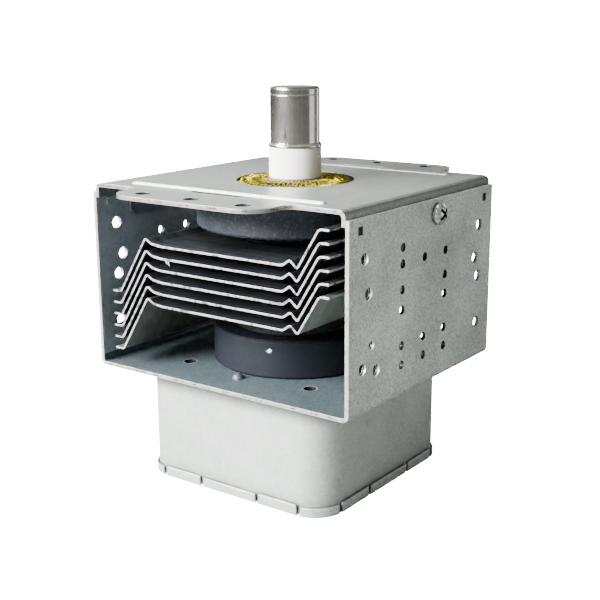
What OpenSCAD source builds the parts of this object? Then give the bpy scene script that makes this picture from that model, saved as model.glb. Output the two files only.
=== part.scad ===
// Oven magnetron: yoke, magnets, anode with cooling fins, output stage and filter box.
// Origin on the antenna axis at the mounting face, +Z along the antenna, -Y towards the front.

/* [Yoke] */
// Width across the outside of the side walls
yoke_w = 95; // [92:0.5:102]
// Depth from the front edge to the back edge
yoke_d = 81.8; // [78:0.2:92]
// Height from the mounting face down to the underside
yoke_h = 58.5; // [57:0.5:64]
// Thickness of the yoke and plate sheet
sheet_t = 1.2; // [1:0.1:1.4]
// Outside radius of the sheet bends
bend_r = 2; // [1.7:0.1:3]
// Drop of the side wall tops below the mounting face
wall_drop = 2.7; // [2.2:0.1:3.5]
// Diameter of the holes along the wall edges
edge_hole_d = 3.6; // [3:0.1:4.2]
// Diameter of the vent holes in the middle of the walls
vent_hole_d = 2.7; // [2:0.1:3.2]
// Spacing of the vent hole columns
vent_pitch = 12.3; // [10:0.1:14]

/* [Mounting plate] */
// Width of the front and back tabs
tab_w = 55; // [48:0.5:62]
// Distance from the mounting holes to the outer edge of their tab
tab_margin = 6.3; // [5:0.1:8]
// Corner radius of the tabs
tab_corner_r = 8; // [4:0.5:9]
// Fillet radius where a tab meets the plate
tab_root_r = 4; // [2:0.5:5]
// Diameter of the mounting holes
mount_hole_d = 4.5; // [4:0.1:5.5]
// Spacing of the outer mounting holes across the plate
mount_pitch_x = 37; // [32:0.5:42]
// Spacing of the mounting holes from front tab to back tab
mount_pitch_y = 97.6; // [95:0.2:104]
// Diameter of the opening round the output
aperture_d = 36.9; // [32:0.1:40]
// Depth of the side flanges below the mounting face
flange_drop = 4.5; // [4:0.1:5.2]
// Depth of the screw tabs below the mounting face
screw_tab_drop = 12; // [12:0.5:17]
// Width of the screw tabs
screw_tab_w = 30; // [26:0.5:34]
// Length of the pressed beads
bead_len = 72; // [60:1:80]
// Width of the pressed beads
bead_w = 3; // [2:0.1:4]
// Height of the pressed beads
bead_h = 0.6; // [0.3:0.05:0.8]
// Spacing of the beads from front to back
bead_pitch = 69.4; // [66:0.2:72]

/* [Screws] */
// Diameter of the screw thread
screw_d = 3.9; // [3:0.1:4.2]
// Diameter of the screw head
screw_head_d = 6.8; // [6:0.1:8]
// Length of the screw under its head
screw_len = 6; // [4:0.5:8]
// Distance of the screws from the middle of the walls
screw_y = 5.8; // [4:0.1:8]
// Drop of the screws below the mounting face
screw_drop = 7.2; // [7:0.1:8.4]

/* [Magnets] */
// Diameter of the upper magnet
upper_magnet_d = 62; // [54:0.5:63]
// Height of the upper magnet
upper_magnet_h = 12.4; // [11:0.1:13]
// Diameter of the lower magnet
lower_magnet_d = 53; // [48:0.5:56]
// Height of the lower magnet
lower_magnet_h = 12; // [10:0.1:13]

/* [Fins] */
// Thickness of a fin
fin_t = 0.6; // [0.4:0.05:0.8]
// Spacing of the fins
fin_pitch = 3.7; // [3.4:0.05:4]
// Gap between the fin ends and the side walls
fin_side_gap = 5.4; // [4.5:0.1:7]
// Height of the drop at the left end of a fin, from its plane to its flange
fin_left_drop = 16.1; // [12:0.1:17]
// Height of the rise at the right end of a fin, from its plane to its flange
fin_right_rise = 11.3; // [8:0.1:12]
// Height of the stiffening bumps beside the ends
fin_bump = 1.9; // [1:0.1:2.2]
// Angle of the sloping ends
fin_slope = 58; // [55:1:62]
// Length of the flat flanges at the fin ends
fin_flange = 3.3; // [2:0.1:4]
// Height of the collar that grips the anode
fin_collar = 2.6; // [1.5:0.1:2.7]

/* [Anode] */
// Diameter of the anode cylinder
anode_d = 39; // [37:0.5:40]
// Wall of the anode cylinder
anode_wall = 2.5; // [2:0.1:3]
// Diameter of the space inside the vane tips
vane_bore_d = 9.2; // [8.8:0.1:10]
// Height of the vanes
vane_h = 9.5; // [8:0.1:10]
// Thickness of a vane
vane_t = 1.8; // [1.4:0.1:2]
// Thickness of the pole pieces
pole_t = 1.6; // [1.2:0.1:2]
// Depth of the pole piece funnels
pole_depth = 5.5; // [4.5:0.1:6]
// Diameter of the pole piece holes
pole_hole_d = 10.4; // [10:0.1:11]

/* [Cathode] */
// Diameter of the end hats
hat_d = 7.8; // [7:0.1:8.4]
// Thickness of the end hats
hat_t = 1.2; // [0.8:0.1:1.5]
// Mean diameter of the filament coil
filament_d = 4.2; // [3.8:0.1:4.6]
// Thickness of the filament wire
filament_wire = 0.5; // [0.4:0.05:0.6]
// Turns of the filament
filament_turns = 8; // [6:1:10]
// Diameter of the cathode leads
lead_d = 1.5; // [1.2:0.1:1.7]

/* [Output] */
// Outside diameter of the input seal cup's tube
seal_tube_d = 20; // [19:0.1:22]
// Outside diameter of the output seal cup's tube
output_tube_d = 17.8; // [17.4:0.1:20]
// Sheet thickness of the seal cups
seal_t = 0.8; // [0.5:0.05:1]
// Height of the output collar above the mounting face
collar_rise = 0.7; // [0.3:0.1:2]
// Diameter of the output ceramic
ceramic_d = 16.3; // [15.5:0.1:17.4]
// Wall of the output ceramic
ceramic_wall = 2.6; // [2:0.1:3]
// Length of the output ceramic
ceramic_len = 9.6; // [8:0.1:14]
// Diameter of the antenna cap
cap_d = 15.4; // [14:0.1:16]
// Sheet thickness of the antenna cap
cap_t = 0.6; // [0.4:0.05:0.8]
// Length of the antenna cap
cap_len = 18.2; // [16:0.1:22]
// Diameter of the flared rim of the cap
cap_rim_d = 16.6; // [16.4:0.1:18]
// Diameter of the exhaust tube
exhaust_d = 6.4; // [5.8:0.1:7]
// Diameter of the antenna lead
antenna_lead_d = 2.4; // [2:0.1:2.8]

/* [Gasket] */
// Height of the gasket's inner edge above the mounting face
gasket_crown = 1.2; // [0.9:0.05:1.6]
// Height of the braid ridges
braid_h = 0.25; // [0.1:0.05:0.35]

/* [Filter box] */
// Side of the square filter box
box_w = 69.8; // [66:0.2:74]
// Height from the underside of the yoke to the underside of the lid
filter_h = 35; // [33:0.5:42]
// Sheet thickness of the box
box_t = 0.8; // [0.6:0.05:1]
// Radius of the upright corners
box_corner_r = 9.5; // [7:0.5:12]
// Fillet along the top edge
box_fillet_r = 3; // [2:0.1:4]
// Sheet thickness of the lid
lid_t = 0.6; // [0.5:0.05:0.8]
// Height of the folded lid skirt
lid_skirt_h = 3.3; // [2.5:0.1:5]
// Width of the slits between the skirt segments
lid_slit_w = 1.4; // [0.6:0.1:2]
// Length of the middle skirt segments
lid_segment = 22; // [16:0.5:26]

/* [Stem and chokes] */
// Diameter of the stem ceramic
stem_d = 19; // [18:0.1:20]
// Length of the stem ceramic
stem_len = 9; // [7:0.1:9.5]
// Thickness of the stem lugs
lug_t = 0.8; // [0.6:0.05:1]
// Diameter of the choke wire
choke_wire = 1.6; // [1.3:0.05:1.8]
// Mean diameter of the choke coils
choke_d = 7.8; // [7:0.1:8.4]
// Turns of each choke
choke_turns = 8; // [6:1:9]
// Spacing of the choke turns
choke_pitch = 2.2; // [2:0.05:2.4]

/* [Capacitor] */
// Width of the oval body
cap_body_w = 24; // [22:0.5:25]
// Height of the oval body
cap_body_h = 11.5; // [10:0.5:13]
// Reach of the body outside the box wall
cap_nose = 7; // [5:0.5:10]
// Depth of the body inside the box wall
cap_tail = 12; // [9:0.5:13]
// Width of a blade
blade_w = 6.3; // [6:0.1:6.6]
// Thickness of a blade
blade_t = 0.8; // [0.6:0.05:0.9]
// Spacing of the two blades
blade_pitch = 13; // [12:0.5:14]
// Reach of the blades outside the box wall
blade_reach = 19; // [14:0.5:19.5]
// Width of the flange plate
cap_flange_w = 36; // [34:0.5:40]
// Height of the flange plate
cap_flange_h = 16; // [15:0.5:18]
// Thickness of the flange plate
cap_flange_t = 1; // [0.8:0.1:1.2]
// Diameter of the rivets
rivet_d = 2.8; // [2.4:0.1:3.2]

/* [Hidden] */
$fn = 64;

// Clearances and small allowances
slide_gap = 0.05;
braze_gap = 0.02;
magnet_gap = 0.5;
gasket_gap = 0.2;
hole_gap = 1;
cut = 1;

// Levels from the mounting face down through the stack
plate_under_z = -sheet_t;
upper_magnet_z = plate_under_z - upper_magnet_h;
upper_pole_z = upper_magnet_z - seal_t;
anode_top_z = upper_pole_z - pole_t;
floor_z = -yoke_h + sheet_t;
lower_magnet_z = floor_z + lower_magnet_h;
lower_pole_z = lower_magnet_z + seal_t;
anode_bottom_z = lower_pole_z + pole_t;
anode_mid_z = (anode_top_z + anode_bottom_z) / 2;
vane_top_z = anode_mid_z + vane_h / 2;
ceramic_top_z = collar_rise + ceramic_len;
cap_top_z = ceramic_top_z + cap_len;

// Levels below the yoke
box_top_z = -yoke_h;
lid_bottom_z = -yoke_h - filter_h;
box_bottom_z = lid_bottom_z + lid_t;
input_reach = 2.2;
stem_top_z = box_top_z - box_t - input_reach;
stem_bottom_z = stem_top_z - stem_len;
lug_bottom_z = stem_bottom_z - lug_t;
lead_stub = 0.8;
lead_end_z = lug_bottom_z - lead_stub;
choke_lug_gap = 2;
choke_z = lug_bottom_z - choke_lug_gap - (choke_d + choke_wire) / 2;
blade_drop = 1.5;
blade_z = choke_z - blade_drop;

// Yoke walls
wall_x = yoke_w / 2;
wall_in_x = wall_x - sheet_t;
bend_in_r = bend_r - sheet_t;
plate_w = 2 * (wall_in_x - slide_gap);
plate_in_x = plate_w / 2 - sheet_t;
tube_hole_d = seal_tube_d + 2 * hole_gap;
vent_rows_of_three = [18.9, 42.9, 48.7];
vent_rows_of_two = [26.4, 32.3];
right_vent_shift = -1.2;
left_hole_rise = 0.8;
dimple_drop = 14.1;
dimple_depth = 0.5;
// Edge holes as [end of the wall, inset from that end, drop below the mounting face]
edge_holes = [
    [-1, 7.6, 14.1], [1, 8.4, 14.4], [-1, 9.7, 24], [1, 10.6, 24.6], [1, 8.4, 30.8],
    [-1, 6.8, 44.8], [1, 8.5, 46], [-1, 13.9, 46.7]
];
small_edge_hole = [-1, 11.3, 38.9];
stake_w = 2.4;
stake_depth = 0.5;
stake_inset = 5.5;
stake_gap = 0.4;
stake_drop = flange_drop + stake_gap + stake_w / 2;
rivet_collar_x = 23.5;
rivet_collar_y = 25.3;
rivet_collar_hole_d = 4;
rivet_collar_wall = 0.6;
rivet_collar_end = 0.5;
locator_r = 1.8;
locator_gap = 1.7;
locator_y = lower_magnet_d / 2 + locator_gap + locator_r;

// Mounting plate details
tab_reach = mount_pitch_y / 2 + tab_margin - yoke_d / 2;
slot_len = 19;
slot_w = 2.4;
slot_depth = 0.6;
slot_gap = 0.4;
slot_y = bead_pitch / 2 + bead_w / 2 + slot_gap + slot_w / 2;
bead_r = (bead_w * bead_w / 4 + bead_h * bead_h) / (2 * bead_h);
screw_tab_shift = 6.5;
screw_tab_r = 3;
screw_wall_gap = 0.2;

// Magnets
magnet_bore_d = seal_tube_d + 2 * magnet_gap;
magnet_chamfer = 0.7;

// Fins
fin_end_x = wall_in_x - fin_side_gap;
fin_top_drop = 1.2;
fin_dip = 0.4;
fin_bump_run = 2.5;
fin_step = 0.4;
fin_ease_run = 3.5;
fin_bend = 0.9;
bend_steps = 4;
fin_hole_d = anode_d + 2 * slide_gap;
fin_y_gap = 0.3;

// Anode
anode_r = anode_d / 2;
anode_in_r = anode_r - anode_wall;
vane_count = 10;
strap_w = 0.8;
strap_h = 0.7;
strap_gap = 0.7;
strap_groove = 0.9;
strap_clear = 0.5;
strap_side_gap = 0.3;
strap_tip_w = 1.3;
strap_in_r = vane_bore_d / 2 + strap_tip_w;
strap_out_r = strap_in_r + strap_w + strap_gap;
pole_tip_w = 1.8;
pole_cone_inset = 3;
pole_cone_r = anode_in_r - pole_cone_inset;
pole_spigot_h = 0.8;

// Output
ceramic_in_r = ceramic_d / 2 - ceramic_wall;
cap_in_r = cap_d / 2 - cap_t;
cap_edge_r = 0.9;
cap_rim_h = 0.5;
cap_flare_h = 0.8;
cap_groove_drop = 2.4;
cap_groove_r = 0.2;
top_seal_t = 0.5;
top_seal_h = 4;
exhaust_wall = 0.8;
exhaust_pinch_h = 4;
exhaust_pinch_t = 1.8;
exhaust_cap_gap = 3;
exhaust_top_z = cap_top_z - cap_t - exhaust_cap_gap;

// Antenna lead, from its vane to the pinched tube
antenna_strap_gap = 1.1;
antenna_foot_r = strap_out_r + strap_w + antenna_strap_gap + antenna_lead_d / 2;
antenna_tube_gap = 1.5;
antenna_bend_r = output_tube_d / 2 - seal_t - antenna_tube_gap - antenna_lead_d / 2;
antenna_rise = 4.2;
antenna_bend = 2;
antenna_shoulder = 0.6;
antenna_neck = 1.5;
antenna_pinch_gap = 1;
antenna_hole_gap = 1.4;
antenna_hole_shift = 0.8;

// Gasket
gasket_in_r = output_tube_d / 2 + gasket_gap;
gasket_out_r = aperture_d / 2 - gasket_gap;
gasket_rows = 7;
gasket_steps = 120;
gasket_edge_drop = 1.6;

// Choke and capacitor places
wire_r = choke_wire / 2;
choke_inner_x = blade_pitch / 2 + blade_t / 2 + wire_r + slide_gap;
choke_x = choke_inner_x + choke_d / 2;
choke_start_y = -6;
choke_end_y = choke_start_y + choke_turns * choke_pitch;
choke_core_gap = 0.15;
choke_core_d = choke_d - choke_wire - 2 * choke_core_gap;
choke_core_over = 1;
wire_sides = 6;
wire_steps = 14;
side_lead_x = 3.2;
lid_corner_over = 1;
lug_margin = 0.6;
lug_back = 1.4;
box_in = box_w / 2 - box_t;
blade_start_gap = 1;
blade_start_y = choke_end_y - wire_r - blade_start_gap;
cap_rivet_x = (cap_flange_w + cap_body_w) / 4;
cap_flange_r = 2;
rivet_head_over = 1;
rivet_head_d = rivet_d + 2 * rivet_head_over;
rivet_head_h = 0.9;

// Unit direction of a 2D step
function unit(v) = v / norm(v);

// Polyline with each inner corner replaced by a short curve
function eased(p, c, n) = [
    p[0],
    for (i = [1 : len(p) - 2])
        let (a = p[i] - c * unit(p[i] - p[i - 1]), b = p[i] + c * unit(p[i + 1] - p[i]))
        for (k = [0 : n])
            let (u = k / n)
            (1 - u) * (1 - u) * a + 2 * u * (1 - u) * p[i] + u * u * b,
    p[len(p) - 1]
];

// Normal of a polyline at one point, long enough to keep the strip thickness at bends
function miter(p, i) =
    let (
        a = unit(i > 0 ? p[i] - p[i - 1] : p[1] - p[0]),
        b = unit(i < len(p) - 1 ? p[i + 1] - p[i] : p[i] - p[i - 1]),
        na = [-a[1], a[0]],
        nb = [-b[1], b[0]]
    )
    (na + nb) / (1 + na * nb);

// Closed outline of a bent strip of thickness t along a polyline
function strip(p, t) = concat(
    [for (i = [0 : len(p) - 1]) p[i] + miter(p, i) * t / 2],
    [for (i = [len(p) - 1 : -1 : 0]) p[i] - miter(p, i) * t / 2]
);

// Rectangle standing on z_low with its two lower corners rounded
module tray_outline(w, z_low, z_high, r) {
    translate([-w / 2, z_low + r])
        square([w, z_high - z_low - r]);
    translate([-w / 2 + r, z_low])
        square([w - 2 * r, r]);
    for (side = [-1, 1])
        translate([side * (w / 2 - r), z_low + r])
            circle(r);
}

// Rectangle with rounded corners, centred
module rounded_rect(w, d, r) {
    square([w - 2 * r, d], center = true);
    square([w, d - 2 * r], center = true);
    for (x = [-1, 1], y = [-1, 1])
        translate([x * (w / 2 - r), y * (d / 2 - r)])
            circle(r);
}

// Oval with flat sides along X, centred
module oval(w, h) {
    square([w - h, h], center = true);
    for (x = [-1, 1])
        translate([x * (w - h) / 2, 0])
            circle(d = h);
}

// Half section of a block with a filleted top edge
module filleted_half(w, h, f) {
    square([w - f, h]);
    square([w, h - f]);
    translate([w - f, h - f])
        circle(f);
}

// Drawn block with round upright corners and a filleted top edge, standing on Z = 0
module drawn_block(w, r, h, f) {
    for (turn = [0, 90])
        rotate([0, 0, turn])
            rotate([90, 0, 0])
                linear_extrude(w - 2 * r, center = true) {
                    filleted_half(w / 2, h, f);
                    mirror([1, 0])
                        filleted_half(w / 2, h, f);
                }
    for (turn = [0, 90, 180, 270])
        rotate([0, 0, turn])
            translate([w / 2 - r, w / 2 - r, 0])
                rotate_extrude(angle = 90)
                    filleted_half(r, h, f);
}

// Round wire of radius r along a path, with frames built on one reference direction
module wire(path, r, ref, sides = wire_sides) {
    n = len(path);
    function tangent(i) = unit(path[min(i + 1, n - 1)] - path[max(i - 1, 0)]);
    points = [
        for (i = [0 : n - 1])
            let (t = tangent(i), u = unit(cross(t, ref)), v = cross(t, u))
            for (k = [0 : sides - 1])
                path[i] + r * (cos(360 * k / sides) * u + sin(360 * k / sides) * v)
    ];
    faces = concat(
        [[for (k = [0 : sides - 1]) k]],
        [for (i = [0 : n - 2], k = [0 : sides - 1])
            let (k2 = (k + 1) % sides, a = i * sides, b = (i + 1) * sides)
            for (face = [[a + k, b + k, b + k2], [a + k, b + k2, a + k2]]) face],
        [[for (k = [sides - 1 : -1 : 0]) (n - 1) * sides + k]]
    );
    polyhedron(points, faces, convexity = 10);
}

// Vent rows of one side wall, drawn in the plane of the right wall
module wall_vents(shift) {
    for (drop = vent_rows_of_three, column = [-1, 0, 1])
        translate([column * vent_pitch + shift, -drop])
            circle(d = vent_hole_d);
    for (drop = vent_rows_of_two, column = [-1, 1])
        translate([column * vent_pitch + shift, -drop])
            circle(d = vent_hole_d);
}

// Holes near the upright edges of one side wall, drawn in the plane of the right wall
module wall_edge_holes() {
    for (hole = edge_holes)
        translate([hole[0] * (yoke_d / 2 - hole[1]), -hole[2]])
            circle(d = edge_hole_d);
    translate([small_edge_hole[0] * (yoke_d / 2 - small_edge_hole[1]), -small_edge_hole[2]])
        circle(d = vent_hole_d);
}

// Small square stakes pressed in below the plate flange, one wall
module stakes(x, depth) {
    for (end = [-1, 1])
        translate([x, end * (yoke_d / 2 - stake_inset), -stake_drop])
            cube([depth, stake_w, stake_w], center = true);
}

module yoke_frame() {
    color("#b4b8b4")
    difference() {
        union() {
            rotate([90, 0, 0])
                linear_extrude(yoke_d, center = true)
                    difference() {
                        tray_outline(yoke_w, -yoke_h, -wall_drop, bend_r);
                        tray_outline(yoke_w - 2 * sheet_t, floor_z, cut, bend_in_r);
                    }
            for (side = [-1, 1]) {
                stakes(side * (wall_in_x - stake_depth / 2), stake_depth);
                translate([0, side * locator_y, floor_z])
                    difference() {
                        sphere(locator_r);
                        translate([0, 0, -locator_r])
                            cube([3 * locator_r, 3 * locator_r, 2 * locator_r], center = true);
                    }
            }
            for (x = [-1, 1], y = [-1, 1])
                translate([x * rivet_collar_x, y * rivet_collar_y, box_top_z - box_t - rivet_collar_end])
                    cylinder(d = rivet_collar_hole_d + 2 * rivet_collar_wall,
                             h = sheet_t / 2 + box_t + rivet_collar_end);
        }
        for (turn = [0, 180])
            rotate([0, 0, turn]) {
                translate([wall_in_x - cut, 0, 0])
                    rotate([90, 0, 90])
                        linear_extrude(sheet_t + 2 * cut) {
                            wall_vents(turn == 0 ? right_vent_shift : 0);
                            translate([0, turn == 0 ? 0 : left_hole_rise])
                                wall_edge_holes();
                        }
                translate([wall_in_x - cut, screw_y, -screw_drop])
                    rotate([0, 90, 0])
                        cylinder(d = screw_d + 2 * screw_wall_gap, h = sheet_t + 2 * cut);
                stakes(wall_x, 2 * stake_depth);
                translate([wall_x - dimple_depth, -vent_pitch + right_vent_shift, -dimple_drop])
                    rotate([0, 90, 0])
                        cylinder(d = vent_hole_d, h = dimple_depth + cut);
            }
        translate([0, 0, -yoke_h - cut])
            cylinder(d = tube_hole_d, h = sheet_t + 2 * cut);
        for (x = [-1, 1], y = [-1, 1])
            translate([x * rivet_collar_x, y * rivet_collar_y, box_top_z - box_t - rivet_collar_end - cut])
                cylinder(d = rivet_collar_hole_d, h = sheet_t + box_t + rivet_collar_end + 2 * cut);
    }
}

// Outline of one mounting tab, drawn for the back tab from the plate edge outwards
module tab_outline() {
    r = tab_corner_r;
    translate([-tab_w / 2, -cut])
        square([tab_w, tab_reach - r + cut]);
    translate([-tab_w / 2 + r, -cut])
        square([tab_w - 2 * r, tab_reach + cut]);
    for (side = [-1, 1]) {
        translate([side * (tab_w / 2 - r), tab_reach - r])
            circle(r);
        translate([side * tab_w / 2, 0])
            difference() {
                translate([side < 0 ? -tab_root_r : 0, -cut])
                    square([tab_root_r, tab_root_r + cut]);
                translate([side * tab_root_r, tab_root_r])
                    circle(tab_root_r);
            }
    }
}

// Round-topped bead of one press tool, standing on Z = 0
module bead_form() {
    span = bead_len - bead_w;
    translate([0, 0, bead_h - bead_r]) {
        rotate([0, 90, 0])
            cylinder(r = bead_r, h = span, center = true);
        for (x = [-1, 1])
            translate([x * span / 2, 0, 0])
                sphere(bead_r);
    }
}

// The part of a bead form above a level
module bead(low) {
    intersection() {
        bead_form();
        translate([-bead_len, -bead_w, low])
            cube([2 * bead_len, 2 * bead_w, bead_h - low + cut]);
    }
}

// Rounded screw tab hanging below the right flange
module screw_tab() {
    translate([plate_in_x, screw_y + screw_tab_shift, 0])
        rotate([90, 0, 90])
            linear_extrude(sheet_t)
                tray_outline(screw_tab_w, -screw_tab_drop, -flange_drop + sheet_t / 2, screw_tab_r);
}

module mounting_plate() {
    color("#c4c8c6")
    difference() {
        union() {
            rotate([90, 0, 0])
                linear_extrude(yoke_d, center = true)
                    mirror([0, 1])
                        difference() {
                            tray_outline(plate_w, 0, flange_drop, bend_r);
                            tray_outline(2 * plate_in_x, sheet_t, flange_drop + cut, bend_in_r);
                        }
            for (turn = [0, 180])
                rotate([0, 0, turn]) {
                    translate([0, yoke_d / 2, -sheet_t])
                        linear_extrude(sheet_t)
                            tab_outline();
                    screw_tab();
                    translate([0, bead_pitch / 2, 0])
                        bead(-sheet_t / 2);
                }
        }
        translate([0, 0, -sheet_t - cut])
            cylinder(d = aperture_d, h = sheet_t + 2 * cut);
        for (turn = [0, 180])
            rotate([0, 0, turn]) {
                for (column = [-1, 0, 1])
                    translate([column * mount_pitch_x / 2, mount_pitch_y / 2, -sheet_t - cut])
                        cylinder(d = mount_hole_d, h = sheet_t + 2 * cut);
                translate([0, bead_pitch / 2, -sheet_t])
                    bead(-cut / 2);
                translate([0, slot_y, -slot_depth])
                    linear_extrude(slot_depth + cut)
                        oval(slot_len, slot_w);
                translate([plate_in_x - cut, screw_y, -screw_drop])
                    rotate([0, 90, 0])
                        cylinder(d = screw_d + 2 * slide_gap, h = sheet_t + 2 * cut);
            }
    }
}

module yoke_screws() {
    dome_h = 2.6;
    rim_h = 1.2;
    dome_r = (screw_head_d * screw_head_d / 4 + (dome_h - rim_h) * (dome_h - rim_h)) / (2 * (dome_h - rim_h));
    recess_w = 1.1;
    recess_l = 4.4;
    recess_depth = 1.7;
    color("#c9cccb")
    for (turn = [0, 180])
        rotate([0, 0, turn])
            translate([wall_x, screw_y, -screw_drop])
                rotate([0, 90, 0])
                    difference() {
                        union() {
                            cylinder(d = screw_head_d, h = rim_h);
                            intersection() {
                                cylinder(d = screw_head_d, h = dome_h);
                                translate([0, 0, dome_h - dome_r])
                                    sphere(dome_r);
                            }
                            translate([0, 0, -screw_len])
                                cylinder(d = screw_d, h = screw_len + rim_h / 2);
                        }
                        for (cross_turn = [45, 135])
                            rotate([0, 0, cross_turn])
                                translate([-recess_l / 2, -recess_w / 2, dome_h - recess_depth])
                                    cube([recess_l, recess_w, recess_depth + cut]);
                    }
}

// Braided ring: a band sloping down outwards, whose slanting ridges turn back at its middle line
module rf_gasket() {
    function ring_r(j) = gasket_in_r + (gasket_out_r - gasket_in_r) * j / gasket_rows;
    function crown(j) = gasket_crown - gasket_edge_drop * j / gasket_rows;
    function ridge(i, j) = braid_h * cos(90 * (i + abs(j - gasket_rows / 2)));
    function at(i, r, z) = [r * cos(360 * i / gasket_steps), r * sin(360 * i / gasket_steps), z];
    points = concat(
        [for (j = [0 : gasket_rows], i = [0 : gasket_steps - 1])
            at(i, ring_r(j), crown(j) - braid_h + ridge(i, j))],
        [for (i = [0 : gasket_steps - 1]) at(i, gasket_out_r, plate_under_z)],
        [for (i = [0 : gasket_steps - 1]) at(i, gasket_in_r, plate_under_z)]
    );
    loops = gasket_rows + 3;
    faces = [
        for (j = [0 : loops - 1], i = [0 : gasket_steps - 1])
            let (
                i2 = (i + 1) % gasket_steps,
                a = j * gasket_steps,
                b = ((j + 1) % loops) * gasket_steps
            )
            for (face = [[a + i, a + i2, b + i2], [a + i, b + i2, b + i]]) face
    ];
    color("#b89a3c")
        polyhedron(points, faces, convexity = 10);
}

// Section of a seal cup on the half plane, flange at Z = 0 to seal_t and tube up to top
module seal_cup_section(tube_d, top) {
    in_r = tube_d / 2 - seal_t;
    translate([in_r, 0])
        square([anode_r - in_r, seal_t]);
    translate([in_r, 0])
        square([seal_t, top]);
    translate([ceramic_in_r, top - seal_t])
        square([tube_d / 2 - ceramic_in_r, seal_t]);
}

module output_seal_cup() {
    color("#a9acab")
        translate([0, 0, upper_pole_z])
            rotate_extrude()
                seal_cup_section(output_tube_d, collar_rise - upper_pole_z);
}

module output_ceramic() {
    edge = 0.3;
    color("#f4f2ea")
        translate([0, 0, collar_rise])
            rotate_extrude()
                polygon([
                    [ceramic_in_r, 0], [ceramic_d / 2 - edge, 0], [ceramic_d / 2, edge],
                    [ceramic_d / 2, ceramic_len - edge], [ceramic_d / 2 - edge, ceramic_len],
                    [ceramic_in_r, ceramic_len]
                ]);
}

module output_top_seal() {
    outer = cap_in_r - slide_gap;
    color("#b9bcbb")
        translate([0, 0, ceramic_top_z])
            rotate_extrude() {
                translate([exhaust_d / 2 + braze_gap, 0])
                    square([outer - exhaust_d / 2 - braze_gap, top_seal_t]);
                translate([outer - top_seal_t, 0])
                    square([top_seal_t, top_seal_h]);
            }
}

// Copper tube squeezed flat at its closed end
module exhaust_tube() {
    r = exhaust_d / 2;
    pinch_z = exhaust_top_z - exhaust_pinch_h;
    color("#b87333")
    difference() {
        intersection() {
            translate([0, 0, ceramic_top_z])
                cylinder(r = r, h = exhaust_top_z - ceramic_top_z);
            rotate([90, 0, 0])
                linear_extrude(exhaust_d + cut, center = true)
                    polygon([
                        [-r, ceramic_top_z], [r, ceramic_top_z], [r, pinch_z],
                        [exhaust_pinch_t / 2, exhaust_top_z], [-exhaust_pinch_t / 2, exhaust_top_z],
                        [-r, pinch_z]
                    ]);
        }
        translate([0, 0, ceramic_top_z - cut])
            cylinder(r = r - exhaust_wall, h = pinch_z - ceramic_top_z + cut);
    }
}

module antenna_lead() {
    foot = [antenna_foot_r, 0, vane_top_z + braze_gap];
    knee = [antenna_foot_r, 0, vane_top_z + antenna_rise];
    shoulder = [antenna_bend_r, 0, upper_magnet_z + antenna_shoulder];
    neck = [0, 0, collar_rise + antenna_neck];
    tip = [0, 0, exhaust_top_z - exhaust_pinch_h - antenna_pinch_gap];
    path = eased([foot, knee, shoulder, neck, tip], antenna_bend, bend_steps);
    color("#b87333")
        wire(path, antenna_lead_d / 2, [0, 1, 0], 2 * wire_sides);
}

module antenna_cap() {
    r = cap_d / 2;
    rim = cap_rim_d / 2;
    flare_z = cap_rim_h + cap_flare_h;
    groove_z = cap_len - cap_groove_drop;
    color("#a8a6a0")
    translate([0, 0, ceramic_top_z])
        rotate_extrude()
            difference() {
                union() {
                    translate([cap_in_r, 0])
                        square([rim - cap_in_r, cap_rim_h]);
                    polygon([[cap_in_r, 0], [rim, cap_rim_h], [r, flare_z], [cap_in_r, flare_z]]);
                    square([r - cap_edge_r, cap_len]);
                    square([r, cap_len - cap_edge_r]);
                    translate([r - cap_edge_r, cap_len - cap_edge_r])
                        circle(cap_edge_r);
                }
                translate([-cut, -cut])
                    square([cap_in_r + cut, cap_len - cap_t + cut]);
                translate([-2 * rim, -cut])
                    square([2 * rim, cap_len + 2 * cut]);
                translate([r + cap_groove_r / 2, groove_z])
                    circle(cap_groove_r);
            }
}

// Ferrite ring with chamfered outer edges, standing on Z = 0
module ring_magnet(d, h) {
    c = magnet_chamfer;
    color("#3a3f45")
        rotate_extrude()
            polygon([
                [magnet_bore_d / 2, 0], [d / 2 - c, 0], [d / 2, c],
                [d / 2, h - c], [d / 2 - c, h], [magnet_bore_d / 2, h]
            ]);
}

module upper_magnet() {
    translate([0, 0, upper_magnet_z])
        ring_magnet(upper_magnet_d, upper_magnet_h);
}

module lower_magnet() {
    translate([0, 0, floor_z])
        ring_magnet(lower_magnet_d, lower_magnet_h);
}

// Funnel-shaped iron pole piece, flange from Z = 0 to pole_t and funnel pointing down
module pole_piece() {
    tip = pole_hole_d / 2;
    tip_out = tip + pole_tip_w;
    spigot = anode_in_r - slide_gap;
    color("#8d8f8e")
        rotate_extrude()
            polygon([
                [tip, -pole_depth], [tip_out, -pole_depth], [pole_cone_r, -pole_spigot_h],
                [spigot, -pole_spigot_h], [spigot, 0], [anode_r, 0], [anode_r, pole_t],
                [pole_cone_r, pole_t], [tip_out, pole_t - pole_depth], [tip, pole_t - pole_depth]
            ]);
}

module upper_pole_piece() {
    difference() {
        translate([0, 0, anode_top_z])
            pole_piece();
        translate([antenna_foot_r - antenna_hole_shift, 0, vane_top_z])
            cylinder(d = antenna_lead_d + 2 * antenna_hole_gap, h = upper_magnet_z - vane_top_z);
    }
}

module lower_pole_piece() {
    translate([0, 0, anode_bottom_z])
        mirror([0, 0, 1])
            pole_piece();
}

module anode_cylinder() {
    color("#b87333")
        translate([0, 0, anode_bottom_z])
            difference() {
                cylinder(r = anode_r, h = anode_top_z - anode_bottom_z);
                translate([0, 0, -cut])
                    cylinder(r = anode_in_r, h = anode_top_z - anode_bottom_z + 2 * cut);
            }
}

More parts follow.
